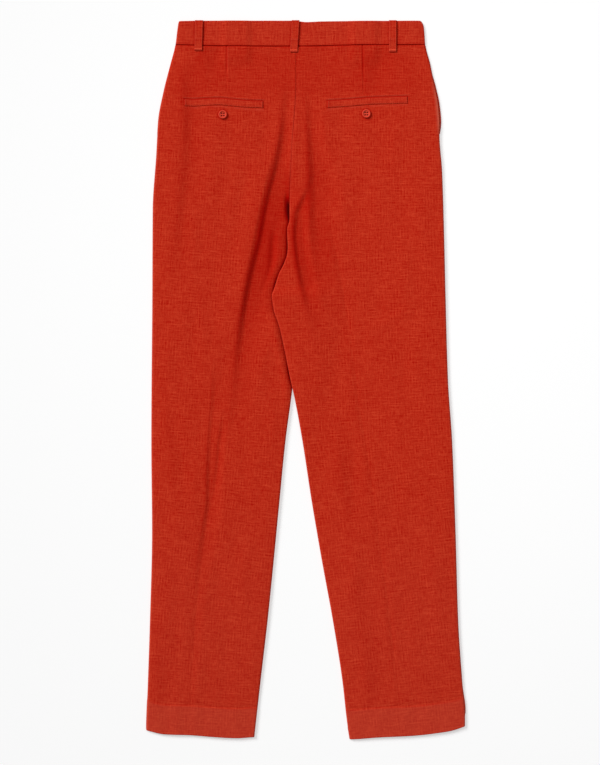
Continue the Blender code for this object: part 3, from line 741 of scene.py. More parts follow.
def clothPiece(name, outer, inner, grain, toneAndPaintedLight, finish, up=True, bulge=0.3):
    # a closed piece of cloth between two grids of points, with a rounded rim
    rows, columns = outer.shape[:2]
    total = rows * columns
    index = np.arange(total).reshape(rows, columns)
    quads = np.stack((index[:-1, :-1], index[1:, :-1], index[1:, 1:], index[:-1, 1:]), axis=-1).reshape(-1, 4)
    rim = np.concatenate((index[:, 0], index[-1, 1:], index[-2::-1, -1], index[0, -2:0:-1]))
    rimRow, rimColumn = np.divmod(rim, columns)
    behind = outer[np.clip(rimRow, 1, rows - 2), np.clip(rimColumn, 1, columns - 2)]
    outer, inner = outer.reshape(-1, 3), inner.reshape(-1, 3)
    outward = outer[rim] - behind
    outward /= np.maximum(np.linalg.norm(outward, axis=1, keepdims=True), 1e-9)
    thickness = np.linalg.norm(outer[rim] - inner[rim], axis=1, keepdims=True)
    middle = (outer[rim] + inner[rim]) / 2.0 + outward * thickness * bulge
    ring = np.arange(len(rim))
    after = np.roll(ring, -1)
    side = np.stack((rim[after], rim, 2 * total + ring, 2 * total + after), axis=-1)
    under = np.stack((2 * total + after, 2 * total + ring, total + rim, total + rim[after]), axis=-1)
    faces = np.concatenate((quads, quads[:, ::-1] + total, side, under))
    if not up:
        faces = faces[:, ::-1]
    mesh = bpy.data.meshes.new(name)
    mesh.from_pydata(np.concatenate((outer, inner, middle)).tolist(), [], faces.tolist())
    spread = np.concatenate((np.arange(total), np.arange(total), rim))
    corners = np.empty(len(mesh.loops), np.int32)
    mesh.loops.foreach_get("vertex_index", corners)
    uv = grain.reshape(-1, 2)[spread][corners]
    mesh.uv_layers.new(name="Grain").uv.foreach_set("vector", uv.astype(np.float32).ravel())
    for kind, values in zip(("paler", "paintedShade"), toneAndPaintedLight.reshape(-1, 2)[spread].T):
        mesh.attributes.new(kind, "FLOAT", "POINT").data.foreach_set("value", values.astype(np.float32))
    mesh.shade_smooth()
    mesh.materials.append(finish)
    return newObject(name, mesh)


def shell(name, x, drop, height, wall, grain, toneAndPaintedLight, finish, up=True):
    outer = place(x, drop, height)
    facing = np.cross(np.gradient(outer, axis=0), np.gradient(outer, axis=1))
    facing *= (1.0 if up else -1.0) / np.linalg.norm(facing, axis=2, keepdims=True)
    inner = outer - facing * (np.broadcast_to(wall, x.shape) * mm)[..., None]
    return clothPiece(name, outer, inner, grain, toneAndPaintedLight, finish, up)


# node trees: a signal is a socket's value, and sums of signals become Math nodes

class Signal:
    def __init__(self, tree, socket):
        self.tree, self.socket = tree, socket

    def maths(self, operation, *others, **settings):
        values = dict(enumerate((self, *others)))
        return add(self.tree, "ShaderNodeMath", 0, values, operation=operation, **settings)

    def __add__(self, other):
        return self.maths("ADD", other)

    def __sub__(self, other):
        return self.maths("SUBTRACT", other)

    def __mul__(self, other):
        return self.maths("MULTIPLY", other)

    def __truediv__(self, other):
        return self.maths("DIVIDE", other)


def socketOf(sockets, key):
    return next(s for i, s in enumerate(sockets) if key in (i, s.name, s.identifier))


def feed(tree, node, inputs):
    # an input takes a number, a colour or a signal
    for key, value in inputs.items():
        if isinstance(value, Signal):
            tree.links.new(value.socket, socketOf(node.inputs, key))
        else:
            socketOf(node.inputs, key).default_value = value


def add(tree, kind, output=0, inputs={}, **settings):
    node = tree.nodes.new(kind)
    for key, value in settings.items():
        setattr(node, key, value)
    feed(tree, node, inputs)
    return Signal(tree, socketOf(node.outputs, output))


def vectorOf(tree, x, y, z):
    return add(tree, "ShaderNodeCombineXYZ", 0, {"X": x, "Y": y, "Z": z})


def noise(where, scale=1.0, detail=0.0, rough=0.5):
    values = {"Vector": where, "Scale": scale, "Detail": detail, "Roughness": rough}
    return add(where.tree, "ShaderNodeTexNoise", 0, values)


def mixed(factor, first, second):
    values = {"Factor_Float": factor, "A_Color": first, "B_Color": second}
    return add(factor.tree, "ShaderNodeMix", "Result_Color", values, data_type="RGBA")


def bumped(height, strength, distance):
    values = {"Strength": strength, "Distance": distance, "Height": height}
    return add(height.tree, "ShaderNodeBump", 0, values)


# finishes

def linear(colour):
    shares = [value / 255.0 for value in colour]
    return [s / 12.92 if s <= 0.04045 else ((s + 0.055) / 1.055) ** 2.4 for s in shares] + [1.0]


def newMaterial(name):
    made = bpy.data.materials.new(name)
    made.use_nodes = True
    return made, made.node_tree, made.node_tree.nodes["Principled BSDF"]


linenLooks = {
    # pale takes in the hem's tone and painted highlights
    "deep": (168, 8, 0), "light": (201, 59, 34), "pale": (194, 82, 62),
    # painted shade is mixed towards the next two reds
    "shadedRed": (165, 4, 0), "darkest": (84, 0, 0),
    "warpPitch": 0.00078, "weftPitch": 0.00086,
    "wander": 0.0011,       # of the threads from their line
    "speck": 0.00125,       # size of the uneven spots where threads cross
    "dash": (0.0011, 0.0065),       # width and length of short uneven lengths of single threads
    "slub": (0.0013, 0.016),        # and of their long thick places
    "line": (0.0062, 0.015), "linePitch": 0.0043,       # coarser threads show as lines
    "mottle": 0.028,
    "ringInside": 0.0067, "ringReach": 0.0026, "ringShade": 0.8,      # a painted shadow ring round the buttons
    "speckShare": 0.6, "dashShare": 0.6, "slubShare": 1.3, "lineShare": 0.55, "mottleShare": 0.2,
    "poreShare": 0.15, "bump": 0.45, "bumpDepth": 0.0002,
    "roughness": 0.9, "specular": 0.035, "sheen": 0.02, "sheenRoughness": 0.45,
    "sheenTint": (255, 205, 190),
}


def linenMaterial(name, tint=0.0, looks=linenLooks):
    material, tree, shader = newMaterial(name)
    grain = add(tree, "ShaderNodeUVMap", "UV", uv_map="Grain")
    wander = (noise(grain, 90.0, 1.0) - 0.5) * looks["wander"]
    u = add(tree, "ShaderNodeSeparateXYZ", "X", {0: grain}) + wander
    v = add(tree, "ShaderNodeSeparateXYZ", "Y", {0: grain}) - wander
    warp = (u / looks["warpPitch"] * math.pi).maths("SINE")
    weft = (v / looks["weftPitch"] * math.pi).maths("SINE")
    warpRound, weftRound = warp.maths("ABSOLUTE"), weft.maths("ABSOLUTE")
    onWarp = warpRound * (weftRound * 0.5 + 0.5)
    onWeft = weftRound * (warpRound * 0.5 + 0.5)
    weave = (warp * weft).maths("GREATER_THAN", 0.0) * (onWarp - onWeft) + onWeft

    def streaks(x, y, size, offset):
        return noise(vectorOf(tree, x * (1.0 / size[0]), y * (1.0 / size[1]), offset))

    # uneven lengths and slubs in single threads of either direction
    dashes, slubs = [
        (streaks(u, v, looks[kind], 2.1), streaks(u, v, looks[kind][::-1], 7.3)) for kind in ("dash", "slub")
    ]
    thick = slubs[0].maths("MAXIMUM", slubs[1])
    coarse = []
    for across, along, offset in ((u, v, 3.7), (v, u, 9.1)):
        strong = (streaks(across, along, looks["line"], offset) - 0.42).maths("MAXIMUM", 0.0)
        coarse.append((across * (2.0 * math.pi / looks["linePitch"])).maths("COSINE") * strong)
    speck = noise(grain, 1.0 / looks["speck"], 1.0, 0.6) - 0.5
    tone = speck * looks["speckShare"] + (0.5 + tint)
    tone = tone + (dashes[0] + dashes[1] - 1.0) * looks["dashShare"]
    tone = tone + (thick.maths("MAXIMUM", 0.54) - 0.57) * looks["slubShare"]
    tone = tone + (coarse[0] + coarse[1]) * looks["lineShare"]
    tone = tone + (noise(grain, 1.0 / looks["mottle"], 2.0, 0.55) - 0.5) * looks["mottleShare"]
    tone = tone.maths("ADD", (weave - 0.6) * looks["poreShare"], use_clamp=True)
    body = mixed(tone, linear(looks["deep"]), linear(looks["light"]))
    # paler towards the pale colour: the hem's tone and painted highlights
    body = mixed(add(tree, "ShaderNodeAttribute", "Fac", attribute_name="paler"), body, linear(looks["pale"]))
    # painted shade in folds and seams, and a painted shadow ring round each button
    paintedShade = add(tree, "ShaderNodeAttribute", "Fac", attribute_name="paintedShade")
    where = add(tree, "ShaderNodeTexCoord", "Object")
    flat = add(tree, "ShaderNodeVectorMath", "Vector", {0: where, 1: (1.0, 1.0, 0.0)}, operation="MULTIPLY")
    for x0, drop0, _ in button["places"].values():
        centre = (x0 * mm, (waistY - drop0) * mm, 0.0)
        away = add(tree, "ShaderNodeVectorMath", "Value", {0: flat, 1: centre}, operation="DISTANCE")
        outside = (away - looks["ringInside"]).maths("ABSOLUTE")
        ring = (outside * (-1.0 / looks["ringReach"]) + 1.0).maths("MAXIMUM", 0.0)
        paintedShade = ring * looks["ringShade"] + paintedShade
    body = mixed(paintedShade, body, linear(looks["shadedRed"]))
    # where the painted shade is deepest, on towards the darkest red
    darkest = (paintedShade * 1.2).maths("SUBTRACT", 1.1, use_clamp=True)
    feed(tree, shader, {
        "Base Color": mixed(darkest, body, linear(looks["darkest"])),
        "Roughness": speck * -0.25 + looks["roughness"],
        "Specular IOR Level": looks["specular"], "Sheen Weight": looks["sheen"],
        "Sheen Roughness": looks["sheenRoughness"], "Sheen Tint": linear(looks["sheenTint"]),
        "Normal": bumped(thick * 1.4 + weave, looks["bump"], looks["bumpDepth"]),
    })
    return material


def threadMaterial(name, colour):
    material, tree, shader = newMaterial(name)
    fibres = noise(add(tree, "ShaderNodeTexCoord", "Object"), 2600.0, 2.0, 0.6)
    lighter = [min(channel * 1.35, 1.0) for channel in linear(colour)]
    feed(tree, shader, {
        "Base Color": mixed(fibres, linear(colour), lighter), "Roughness": 0.8,
        "Specular IOR Level": 0.06, "Normal": bumped(fibres, 0.4, 0.00008),
    })
    return material


def buttonMaterial(name, looks):
    material, tree, shader = newMaterial(name)
    where = add(tree, "ShaderNodeTexCoord", "Object")
    grit = noise(where, 5200.0, 2.0, 0.6)
    feed(tree, shader, {
        "Base Color": mixed(noise(where, 220.0, 3.0, 0.55), linear(looks["deep"]), linear(looks["light"])),
        "Roughness": grit * 0.16 + (looks["roughness"] - 0.08), "Specular IOR Level": 0.08,
        "Normal": bumped(grit, 0.15, 0.00004),
    })
    return material


bodyLinen = linenMaterial("body linen")
bandLinen = linenMaterial("waistband linen")
weltLinen = linenMaterial("welt linen", 0.02)
topThread = threadMaterial("topstitch thread", (196, 60, 42))
holeThread = threadMaterial("buttonhole thread", (180, 40, 24))
darkThread = threadMaterial("button thread", (132, 18, 9))
# a darker copy of the button thread, painted shade inside the holes
shadedHoleThread = threadMaterial("button thread in painted shade", (96, 6, 3))
# the bar tack thread is a lighter copy of the topstitch thread, a painted highlight
litTackThread = threadMaterial("bar tack thread painted lighter", (244, 88, 58))
coralPlastic = buttonMaterial(
    "coral plastic", {"deep": (196, 52, 34), "light": (218, 72, 50), "roughness": 0.5}
)
print("finishes made")


# the leg panels

def hemWall(x, drop):
    doubled = ease(hem(x) - drop, cloth["turnUp"] + 2.0, cloth["turnUp"])
    return cloth["wall"] + (cloth["hemWall"] - cloth["wall"]) * doubled


def legPanel(name, rows, lines, counts, top, threads, shade=None, weights=(0, -1)):
    # the columns lie between lines down the leg, of which weights names the side's and the inner one
    x = columnsBetween([line(rows) for line in lines], counts)
    drop = settlePanel(x, rows[:, None])
    paler = palerPanel(x, drop, *[lines[i](rows)[:, None] for i in weights])
    toneAndPaintedLight = toneAndPaintedLightOf(x, paler, shade(x, drop) if shade else 0.0)
    return shell(
        name, x, drop, top(x, drop), hemWall(x, drop), grainOf(x, drop, threads), toneAndPaintedLight, bodyLinen,
        up=shade is not None,
    )


atSeam = (bandDepth - cloth["tuck"], bandDepth - 0.3, 1.35)
backRows = steps(
    atSeam, (bandDepth - 0.3, bandDepth + 3.0, 0.4), (bandDepth + 3.0, 105.0, 3.0), (105.0, 129.0, 0.8),
    (129.0, 992.0, 3.2), (992.0, 1004.0, 1.0), (1004.0, 1034.0, 3.0), (1034.0, 1038.5, 1.5),
    (1038.5, 1040.0, 0.5),
)
frontRows = steps(
    atSeam, (bandDepth - 0.3, bandDepth + 3.0, 0.55), (bandDepth + 3.0, 160.0, 4.0), (160.0, 176.0, 2.0),
    (176.0, 360.0, 5.0), (360.0, 440.0, 4.0), (440.0, 992.0, 6.0), (992.0, 1004.0, 2.0),
    (1004.0, 1036.0, 4.0), (1036.0, 1040.0, 1.0),
)
backLeft = legPanel(
    "backLeft", backRows, (leftSide, beside(leftCrease, -7.0), beside(leftCrease, 7.0), leftSeamX),
    (32, 12, 56), leftBackTop, leftCrease, shadeLeftBack,
)
backRight = legPanel(
    "backRight", backRows, (rightSeamX, beside(rightCrease, -7.0), beside(rightCrease, 7.0), rightSide),
    (48, 12, 42), rightBackTop, rightGrain, shadeRightBack, (-1, 0),
)
print("backs made")
frontLeft = legPanel(
    "frontLeft", frontRows, (leftMouthX, leftFrontMiddle, leftFrontInner), (20, 20), frontLeftHeight,
    leftCrease,
)
frontRight = legPanel(
    "frontRight", frontRows, (rightFrontInner, rightFrontMiddle, rightMouthX), (14, 28),
    frontRightHeight, rightCrease,
)


def facing(name, side, mouth, crease, toward, stands):
    # the cloth behind a slanted pocket's mouth, which goes on inside the front; toward is 1 or -1
    rows = steps((bandDepth + 1.0, mouths["sewnTo"], 4.0), (mouths["sewnTo"], mouths["sewnTo"] + 4.0, 2.0))
    stops = [side(rows), mouth(rows), mouth(rows) + mouths["facingReach"] * toward]
    x = columnsBetween(stops[::toward], (8, 5)[::toward])
    drop = settlePanel(x, rows[:, None])
    fromMouth, fromSide = (mouth(drop) - x) * toward, (x - side(drop)) * toward
    height = loopRise(x, drop) + 0.75 * ease(fromMouth, 3.0, 0.2)
    edge = (1.0 - 0.5 * fallAtEdge(fromSide, 1.0)) * ease(fromMouth, -1.0, 6.0)
    height = height + (0.5 + stands * standsOut(drop)) * edge
    grain = grainOf(x, drop, crease)
    # painted lighter all over, against the shade the sliver lies in
    return shell(name, x, drop, height, cloth["wall"], grain, toneAndPaintedLightOf(x, 0.2), bodyLinen, up=False)


facingLeft = facing("facingLeft", leftSide, leftMouthX, leftCrease, 1, 0.0)
facingRight = facing("facingRight", rightHip, rightMouthX, rightCrease, -1, 1.2)
print("fronts and pocket facings made")


# the waistband

def bandGrid(leftEdge, rightEdge, count):
    topReach, seamReach = band["topReach"], band["seamReach"]
    rows = np.concatenate((
        edgeInsets(topReach), steps((topReach, bandDepth - seamReach, 2.6))[1:],
        bandDepth - edgeInsets(seamReach)[::-1][1:],
    ))
    x = columnsBetween([leftEdge(rows), rightEdge(rows)], (count,))
    return x, rows[:, None] + 0.0 * x


def bandPiece(name, x, drop, height, fromEnds, toneAndPaintedLight, up):
    wall = band["wall"] - 0.5 * ease(fromEnds, 3.0, 0.5)
    return shell(name, x, settleBand(x, drop), height, wall, flatGrain(drop, x), toneAndPaintedLight, bandLinen, up)


def bandBack():
    x, drop = bandGrid(leftSide, rightSide, 260)
    fromEnds = np.minimum(x - leftSide(drop), rightSide(drop) - x)
    # painted shadow along the seam at the band's lower edge and beside each back loop, stronger on the loop's
    # right
    paintedShade = 0.9 * ease(drop, bandDepth - 1.5, bandDepth - 0.4)
    for loop in loops["back"]:
        for side, strength in ((-1.0, 0.45), (1.0, 0.9)):
            edge = loopMiddle(loop, drop) + side * (loopHalf(loop, drop) + 0.8)
            paintedShade = paintedShade + strength * bell(x - edge, 1.5)
    toneAndPaintedLight = toneAndPaintedLightOf(x, 0.04 + 0.12 * ease(drop, 1.6, 0.3), paintedShade)
    return bandPiece("waistbandBack", x, drop, bandTop(x, drop), fromEnds, toneAndPaintedLight, True)


def bandFront(name, leftEdge, rightEdge, toSide):
    x, drop = bandGrid(leftEdge, rightEdge, 76)
    outer, centre = (x - leftEdge(drop), rightEdge(drop) - x)[::toSide]
    height = loopRise(x, drop) + bandFall(drop, outer) + 0.5 * fallAtEdge(centre, 1.0)
    return bandPiece(name, x, drop, height, outer, toneAndPaintedLightOf(x, 0.05), False)


# belt loops

def loopMiddle(loop, drop):
    return loop[1] + (loop[3] - loop[1]) * np.clip(drop / loop[5], 0.0, 1.0)


def loopHalf(loop, drop):
    return (loop[2] + (loop[4] - loop[2]) * np.clip(drop / loop[5], 0.0, 1.0)) / 2.0


def restUnderLoop(x, drop):
    onBand = bandTop(x, np.clip(drop, 1.2, bandDepth - 1.3))
    onPanel = panelTop(x, np.maximum(drop, bandDepth + 2.8))
    return np.where(drop < 31.0, onBand, np.maximum(onBand, onPanel))


def loopSurface(loop, along, across):
    # a point on a back loop's upper face: along is 0 to 1, across -1 to 1
    along, across = np.broadcast_arrays(along, across)
    drop = loops["path"](along) * loop[5]
    lift = loops["path"](along, 2)
    middle = loopMiddle(loop, drop)
    x = middle + across * loopHalf(loop, drop)
    rest = restUnderLoop(middle, np.maximum(drop, 0.0))
    rest = rest + 0.35 * (restUnderLoop(x, np.maximum(drop, 0.0)) - rest)
    return x, drop, rest + laid["gap"] + loops["wall"] + np.where(lift > 0.0, lift * loops["bow"], lift)


def rounded(across):
    # thickness across a strip, from 0 at its sides to 1
    return 1.0 - fallAtEdge(1.0 - np.abs(across), loops["rounding"])


def backLoop(loop):
    tip = 1.0 - 0.06 * (1.0 - np.sin(np.radians(np.linspace(0, 90, 8))))
    along = np.concatenate((np.linspace(0.0, 0.15, 12), np.linspace(0.15, 0.94, 34)[1:], tip[1:]))
    a, c = np.meshgrid(along, acrossStrip(9), indexing="ij")
    x, drop, top = loopSurface(loop, a, c)
    off = np.abs(c)
    thick = rounded(c) * np.sqrt(1.0 - np.clip((a - 0.965) / 0.035, 0.0, 1.0) ** 2 * 0.96)
    half = loops["wall"] / 2.0
    upper = place(x, drop, top - half + (half + bells(off, loops["edgeWelt"])) * thick)
    lower = place(x, drop, top - half - half * thick - 0.02)
    # painted highlights along the folded edges, at the end and at the bend; painted shade inside the edges,
    # past the bend, on the rims and at the end
    paler = 0.03 + 0.16 * ease(off, 0.72, 0.95) + 0.22 * ease(a, 0.93, 0.985) + 0.16 * bell(a - 0.64, 0.02)
    paintedShade = 0.35 * bell(off - 0.6, 0.08) + 0.3 * bell(a - 0.69, 0.02)
    paintedShade = paintedShade + 0.9 * ease(off, 0.95, 0.99) + 0.9 * ease(a, 0.985, 0.998)
    return clothPiece(
        loop[0], upper, lower, flatGrain(x - loop[1], drop), toneAndPaintedLightOf(x, paler, paintedShade), bandLinen
    )


def frontLoop(name, x0, endDrop):
    d, c = np.meshgrid(withRims(1.0, endDrop, 0.8, 14), acrossStrip(5), indexing="ij")
    thick = rounded(c) * (1.0 - 0.97 * fallAtEdge(np.minimum(d - 1.0, endDrop - d), 0.8))
    x = x0 + c * loops["frontWidth"] / 2.0
    half = loops["wall"] / 2.0
    lower = place(x, d, half - half * thick)
    upper = place(x, d, half + half * thick + 0.01)
    return clothPiece(name, lower, upper, flatGrain(x - x0, d), toneAndPaintedLightOf(x, 0.1), bandLinen, up=False)


waistbandBack = bandBack()
waistbandFrontLeft = bandFront("waistbandFrontLeft", leftSide, centreFront, 1)
waistbandFrontRight = bandFront("waistbandFrontRight", beside(centreFront, laid["gap"]), rightSide, -1)
print("waistband made")
backLoops = [backLoop(loop) for loop in loops["back"]]
frontLoops = [frontLoop(name, x0, endDrop) for name, x0, endDrop, _ in loops["front"]]
print("belt loops made")


# pocket welts

def weltSurface(line, x, off):
    # a point on a welt's face: off is measured down from its middle line
    drop = line(x) + off
    return drop, panelTop(x, drop) + besideWelts(x, drop) + welts["gap"] + welts["wall"]


def pocketWelt(name, line):
    half = welts["width"] / 2.0
    off, x = np.meshgrid(
        withRims(-half, half, 0.9, 7), withRims(line.start, line.end, 1.0, 56), indexing="ij"
    )
    drop, top = weltSurface(line, x, off)
    fromEnds = np.minimum(x - line.start, line.end - x)
    inside = np.minimum(fromEnds, np.minimum(off + half, half - off))
    fall = 0.97 * fallAtEdge(inside, 0.9)
    slope = 0.35 * ease(half - off, 3.2, 0.6)       # the lower edge lies closer to the cloth
    sag = 0.10 * np.sin(x / 7.0) * np.cos(off / 3.0) + 0.08 * np.sin(x / 17.0 + 1.0)
    upper = place(x, drop, top - welts["wall"] * fall * 0.8 + sag * (1.0 - fall) - slope)
    lower = place(x, drop, top - welts["wall"])
    # painted shade along the welt's edges and ends, most at the top, and a painted highlight just inside its
    # rim
    paintedShade = 0.8 * ease(half + off, 1.0, 0.4) + 0.1 * ease(half - off, 1.0, 0.4)
    paintedShade = paintedShade + 0.6 * ease(fromEnds, 1.0, 0.3) + 0.25 * bell(fromEnds - 2.6, 0.7)
    toneAndPaintedLight = toneAndPaintedLightOf(x, 0.02 + 0.1 * bell(inside - 1.7, 0.7), paintedShade)
    return clothPiece(name, upper, lower, flatGrain(x - line.start, drop), toneAndPaintedLight, weltLinen, bulge=0.1)


weltPieces = {side: pocketWelt("welt" + side.capitalize(), line) for side, line in weltLines.items()}
print("welts made")


# buttons

def turnedDisc(name, centre):
    sides = button["sides"]
    turns = [2.0 * math.pi * i / sides for i in range(sides)]
    points = [
        (centre[0] + radius * mm * math.cos(turn), centre[1] + radius * mm * math.sin(turn),
         centre[2] + height * mm)
        for radius, height in button["profile"] for turn in (turns if radius > 0.0 else turns[:1])
    ]
    last = len(points) - 1 - sides
    around = [(i, (i + 1) % sides) for i in range(sides)]
    faces = [(0, 1 + i, 1 + j) for i, j in around]
    for a in range(1, last, sides):
        faces += [(a + i, a + sides + i, a + sides + j, a + j) for i, j in around]
    faces += [(last + j, last + i, len(points) - 1) for i, j in around]
    mesh = bpy.data.meshes.new(name)
    mesh.from_pydata(points, [], faces)
    mesh.materials.append(coralPlastic)
    return newObject(name, mesh)


def evaluatedCopy(source, name):
    # the modifiers' result as a plain mesh object in place of the source
    bpy.context.view_layer.update()
    done = source.evaluated_get(bpy.context.evaluated_depsgraph_get())
    mesh = bpy.data.meshes.new_from_object(done)
    bpy.data.objects.remove(source)
    mesh.name = name
    return newObject(name, mesh)


def sewnButton(name, side):
    x, drop, node = button["places"][side]
    centre = (x * mm, (waistY - drop) * mm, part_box(node)[0].z)
    disc = turnedDisc(name + "Blank", centre)
    cutters = []
    for i in range(4):
        angle = math.pi * (0.25 + 0.5 * i)
        at = Vector(centre) + Vector((math.cos(angle), math.sin(angle), 0.0)) * button["holeCircle"] * mm
        bpy.ops.mesh.primitive_cylinder_add(
            vertices=20, radius=button["holeRadius"] * mm, depth=8.0 * mm, location=at
        )
        cutters.append(bpy.context.object)
        cut = disc.modifiers.new("Hole", "BOOLEAN")
        cut.operation = "DIFFERENCE"
        cut.solver = "EXACT"
        cut.object = cutters[-1]
    made = evaluatedCopy(disc, name)
    for cutter in cutters:
        bpy.data.objects.remove(cutter)
    made.data.shade_smooth()
    made.data.set_sharp_from_angle(angle=math.radians(38.0))
    return made


buttons = {side: sewnButton("button" + side.capitalize(), side) for side in button["places"]}
print("buttons made")


# sewing: a Geometry Nodes tree lays stitches along the lines it is given

def sewingTree():
    tree = bpy.data.node_groups.new("Sewn line", "GeometryNodeTree")
    kinds = {
        "Line": "Geometry", "Pitch": "Float", "Length": "Float", "Width": "Float", "Turn": "Float",
        "Uneven": "Float", "Seed": "Int", "Thread": "Material",
    }
    for name, kind in kinds.items():
        tree.interface.new_socket(name, in_out="INPUT", socket_type="NodeSocket" + kind)
    tree.interface.new_socket("Stitches", in_out="OUTPUT", socket_type="NodeSocketGeometry")
    group = tree.nodes.new("NodeGroupInput")
    line, pitch, length, width, turn, uneven, seed, thread = [
        Signal(tree, group.outputs[name]) for name in kinds
    ]

    def spread(offset):
        # -1 to 1 by chance for each stitch, times how uneven they are
        limits = {"Min_001": -1.0, "Max_001": 1.0, "Seed": seed + offset}
        return add(tree, "FunctionNodeRandomValue", "Value_001", limits, data_type="FLOAT") * uneven

    curve = add(tree, "GeometryNodeMeshToCurve", 0, {"Mesh": line})
    even = add(tree, "GeometryNodeResampleCurve", 0, {"Curve": curve, "Length": pitch}, mode="LENGTH")
    tangent = add(tree, "GeometryNodeInputTangent")
    along = add(tree, "FunctionNodeAlignRotationToVector", 0, {"Vector": tangent}, axis="X")
    angles = vectorOf(tree, 0.0, 0.0, spread(0) + turn)
    lean = add(tree, "FunctionNodeEulerToRotation", 0, {"Euler": angles})
    turned = add(
        tree, "FunctionNodeRotateRotation", 0, {"Rotation": along, "Rotate By": lean}, rotation_space="LOCAL"
    )
    stitches = add(tree, "GeometryNodeInstanceOnPoints", 0, {
        "Points": even, "Rotation": turned,
        "Instance": add(tree, "GeometryNodeMeshUVSphere", 0, {"Segments": 8, "Rings": 6, "Radius": 0.5}),
        "Scale": vectorOf(tree, (spread(1) + 1.0) * length, width, width),
    })
    real = add(tree, "GeometryNodeRealizeInstances", 0, {"Geometry": stitches})
    smooth = add(tree, "GeometryNodeSetShadeSmooth", 0, {"Geometry": real})
    dressed = add(tree, "GeometryNodeSetMaterial", 0, {"Geometry": smooth, "Material": thread})
    feed(tree, tree.nodes.new("NodeGroupOutput"), {"Stitches": dressed})
    return tree


sewing = sewingTree()
stitchKinds = {             # metres, radians
    "topstitch": {"Pitch": 0.0033, "Length": 0.0026, "Width": 0.00042, "Turn": 0.0, "Uneven": 0.06},
    "edgestitch": {"Pitch": 0.0027, "Length": 0.0021, "Width": 0.00036, "Turn": 0.0, "Uneven": 0.06},
    "bartack": {"Pitch": 0.00062, "Length": 0.0019, "Width": 0.0004, "Turn": 1.5708, "Uneven": 0.12},
    "buttonhole": {"Pitch": 0.00055, "Length": 0.0015, "Width": 0.0004, "Turn": 1.5708, "Uneven": 0.08},
}


def sew(name, lines, kind, thread, seed):
    # lines are arrays of points in metres
    mesh = bpy.data.meshes.new(name + "Line")
    points, edges = [], []
    for line in lines:
        edges += [(len(points) + i, len(points) + i + 1) for i in range(len(line) - 1)]
        points += [tuple(point) for point in line]
    mesh.from_pydata(points, edges, [])
    carrier = newObject(name + "Line", mesh)
    modifier = carrier.modifiers.new("Sewing", "NODES")
    modifier.node_group = sewing
    values = dict(stitchKinds[kind], Seed=seed, Thread=thread)
    for item in sewing.interface.items_tree:
        if item.name in values:
            modifier[item.identifier] = values[item.name]
    return evaluatedCopy(carrier, name)


def threadTubes(name, lines, radius, finish):
    data = bpy.data.curves.new(name + "Curve", "CURVE")
    data.dimensions = "3D"
    data.bevel_depth = radius * mm
    data.bevel_resolution = 2
    data.use_fill_caps = True
    for line in lines:
        spline = data.splines.new("POLY")
        spline.points.add(len(line) - 1)
        for point, at in zip(spline.points, line):
            point.co = (*at, 1.0)
    data.materials.append(finish)
    return evaluatedCopy(newObject(name + "Curve", data), name)


def onLoop(loop, along, across, lift):
    x, drop, top = loopSurface(loop, along, across)
    return place(x, drop, top + lift)


def onWelt(line, x, off, lift):
    drop, top = weltSurface(line, x, off)
    return place(x, drop, top + lift)


def onPanel(x, drop, lift):
    return place(x, drop, panelTop(x, drop) + lift)


def onFront(x, drop):
    return place(x, drop, loopRise(x, drop) + 0.1)


loopEdges = [
    onLoop(loop, np.linspace(0.1, 0.97, 60), side, 0.0) for loop in loops["back"] for side in (-0.7, 0.7)
]
loopEnds = [onLoop(loop, 0.95, np.linspace(-0.86, 0.86, 22), 0.06) for loop in loops["back"]]
loopSewing = [
    sew("loopEdgeStitches", loopEdges, "edgestitch", topThread, 41),
    sew("loopBarTacks", loopEnds, "bartack", litTackThread, 42),
]


def weltSewing(side, seed):
    line, title = weltLines[side], side.capitalize()
    x = np.linspace(line.start - 1.0, line.end + 1.0, 120)
    above = onPanel(x, line(x) - 7.7, 0.05)
    edge = onWelt(line, np.linspace(line.start + 1.4, line.end - 1.4, 120), 3.9, 0.02)
    ends = [onWelt(line, x0, np.linspace(-4.2, 4.2, 16), 0.04) for x0 in (line.start + 1.5, line.end - 1.5)]
    return [
        sew("weltTopstitch" + title, [above], "topstitch", topThread, seed),
        sew("weltEdgeStitch" + title, [edge], "edgestitch", topThread, seed + 1),
        sew("weltTacks" + title, ends, "bartack", topThread, seed + 2),
    ]


def buttonSewing(side, seed):
    x0, drop0, node = button["places"][side]
    title, low = side.capitalize(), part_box(node)[0].z / mm
    slit = [onPanel(x0 + offset, np.linspace(drop0 - 8.2, drop0 + 4.0, 20), 0.1) for offset in (-0.75, 0.75)]
    reach = button["holeCircle"] * math.sqrt(0.5)
    t = np.linspace(-1.0, 1.0, 14)
    arch = low + 0.75 + 0.75 * np.sqrt(1.0 - 0.75 * t ** 4)
    threads = [place(x0 + reach * t, drop0 + offset, arch) for offset in (-reach, reach)]
    # and the thread fills the four holes, in a darker copy that paints the holes' shade
    knots = [
        place(x0 + across, drop0 + down, low + np.array([0.1, 0.75]))
        for across in (-reach, reach) for down in (-reach, reach)
    ]
    return [
        sew("buttonhole" + title, slit, "buttonhole", holeThread, seed),
        threadTubes("buttonThread" + title, threads, 0.26, darkThread),
        threadTubes("buttonKnots" + title, knots, 0.95, shadedHoleThread),
    ]


pocketSewing = {side: weltSewing(side, seed) for side, seed in (("left", 51), ("right", 61))}
for side, seed in (("left", 71), ("right", 81)):
    pocketSewing[side] += buttonSewing(side, seed)


def mouthLine(mouth, toward):
    drop = np.linspace(bandDepth + mouths["stitchStart"], mouths["sewnTo"], 90)
    return onFront(mouth(drop) + mouths["stitchInset"] * toward, drop)


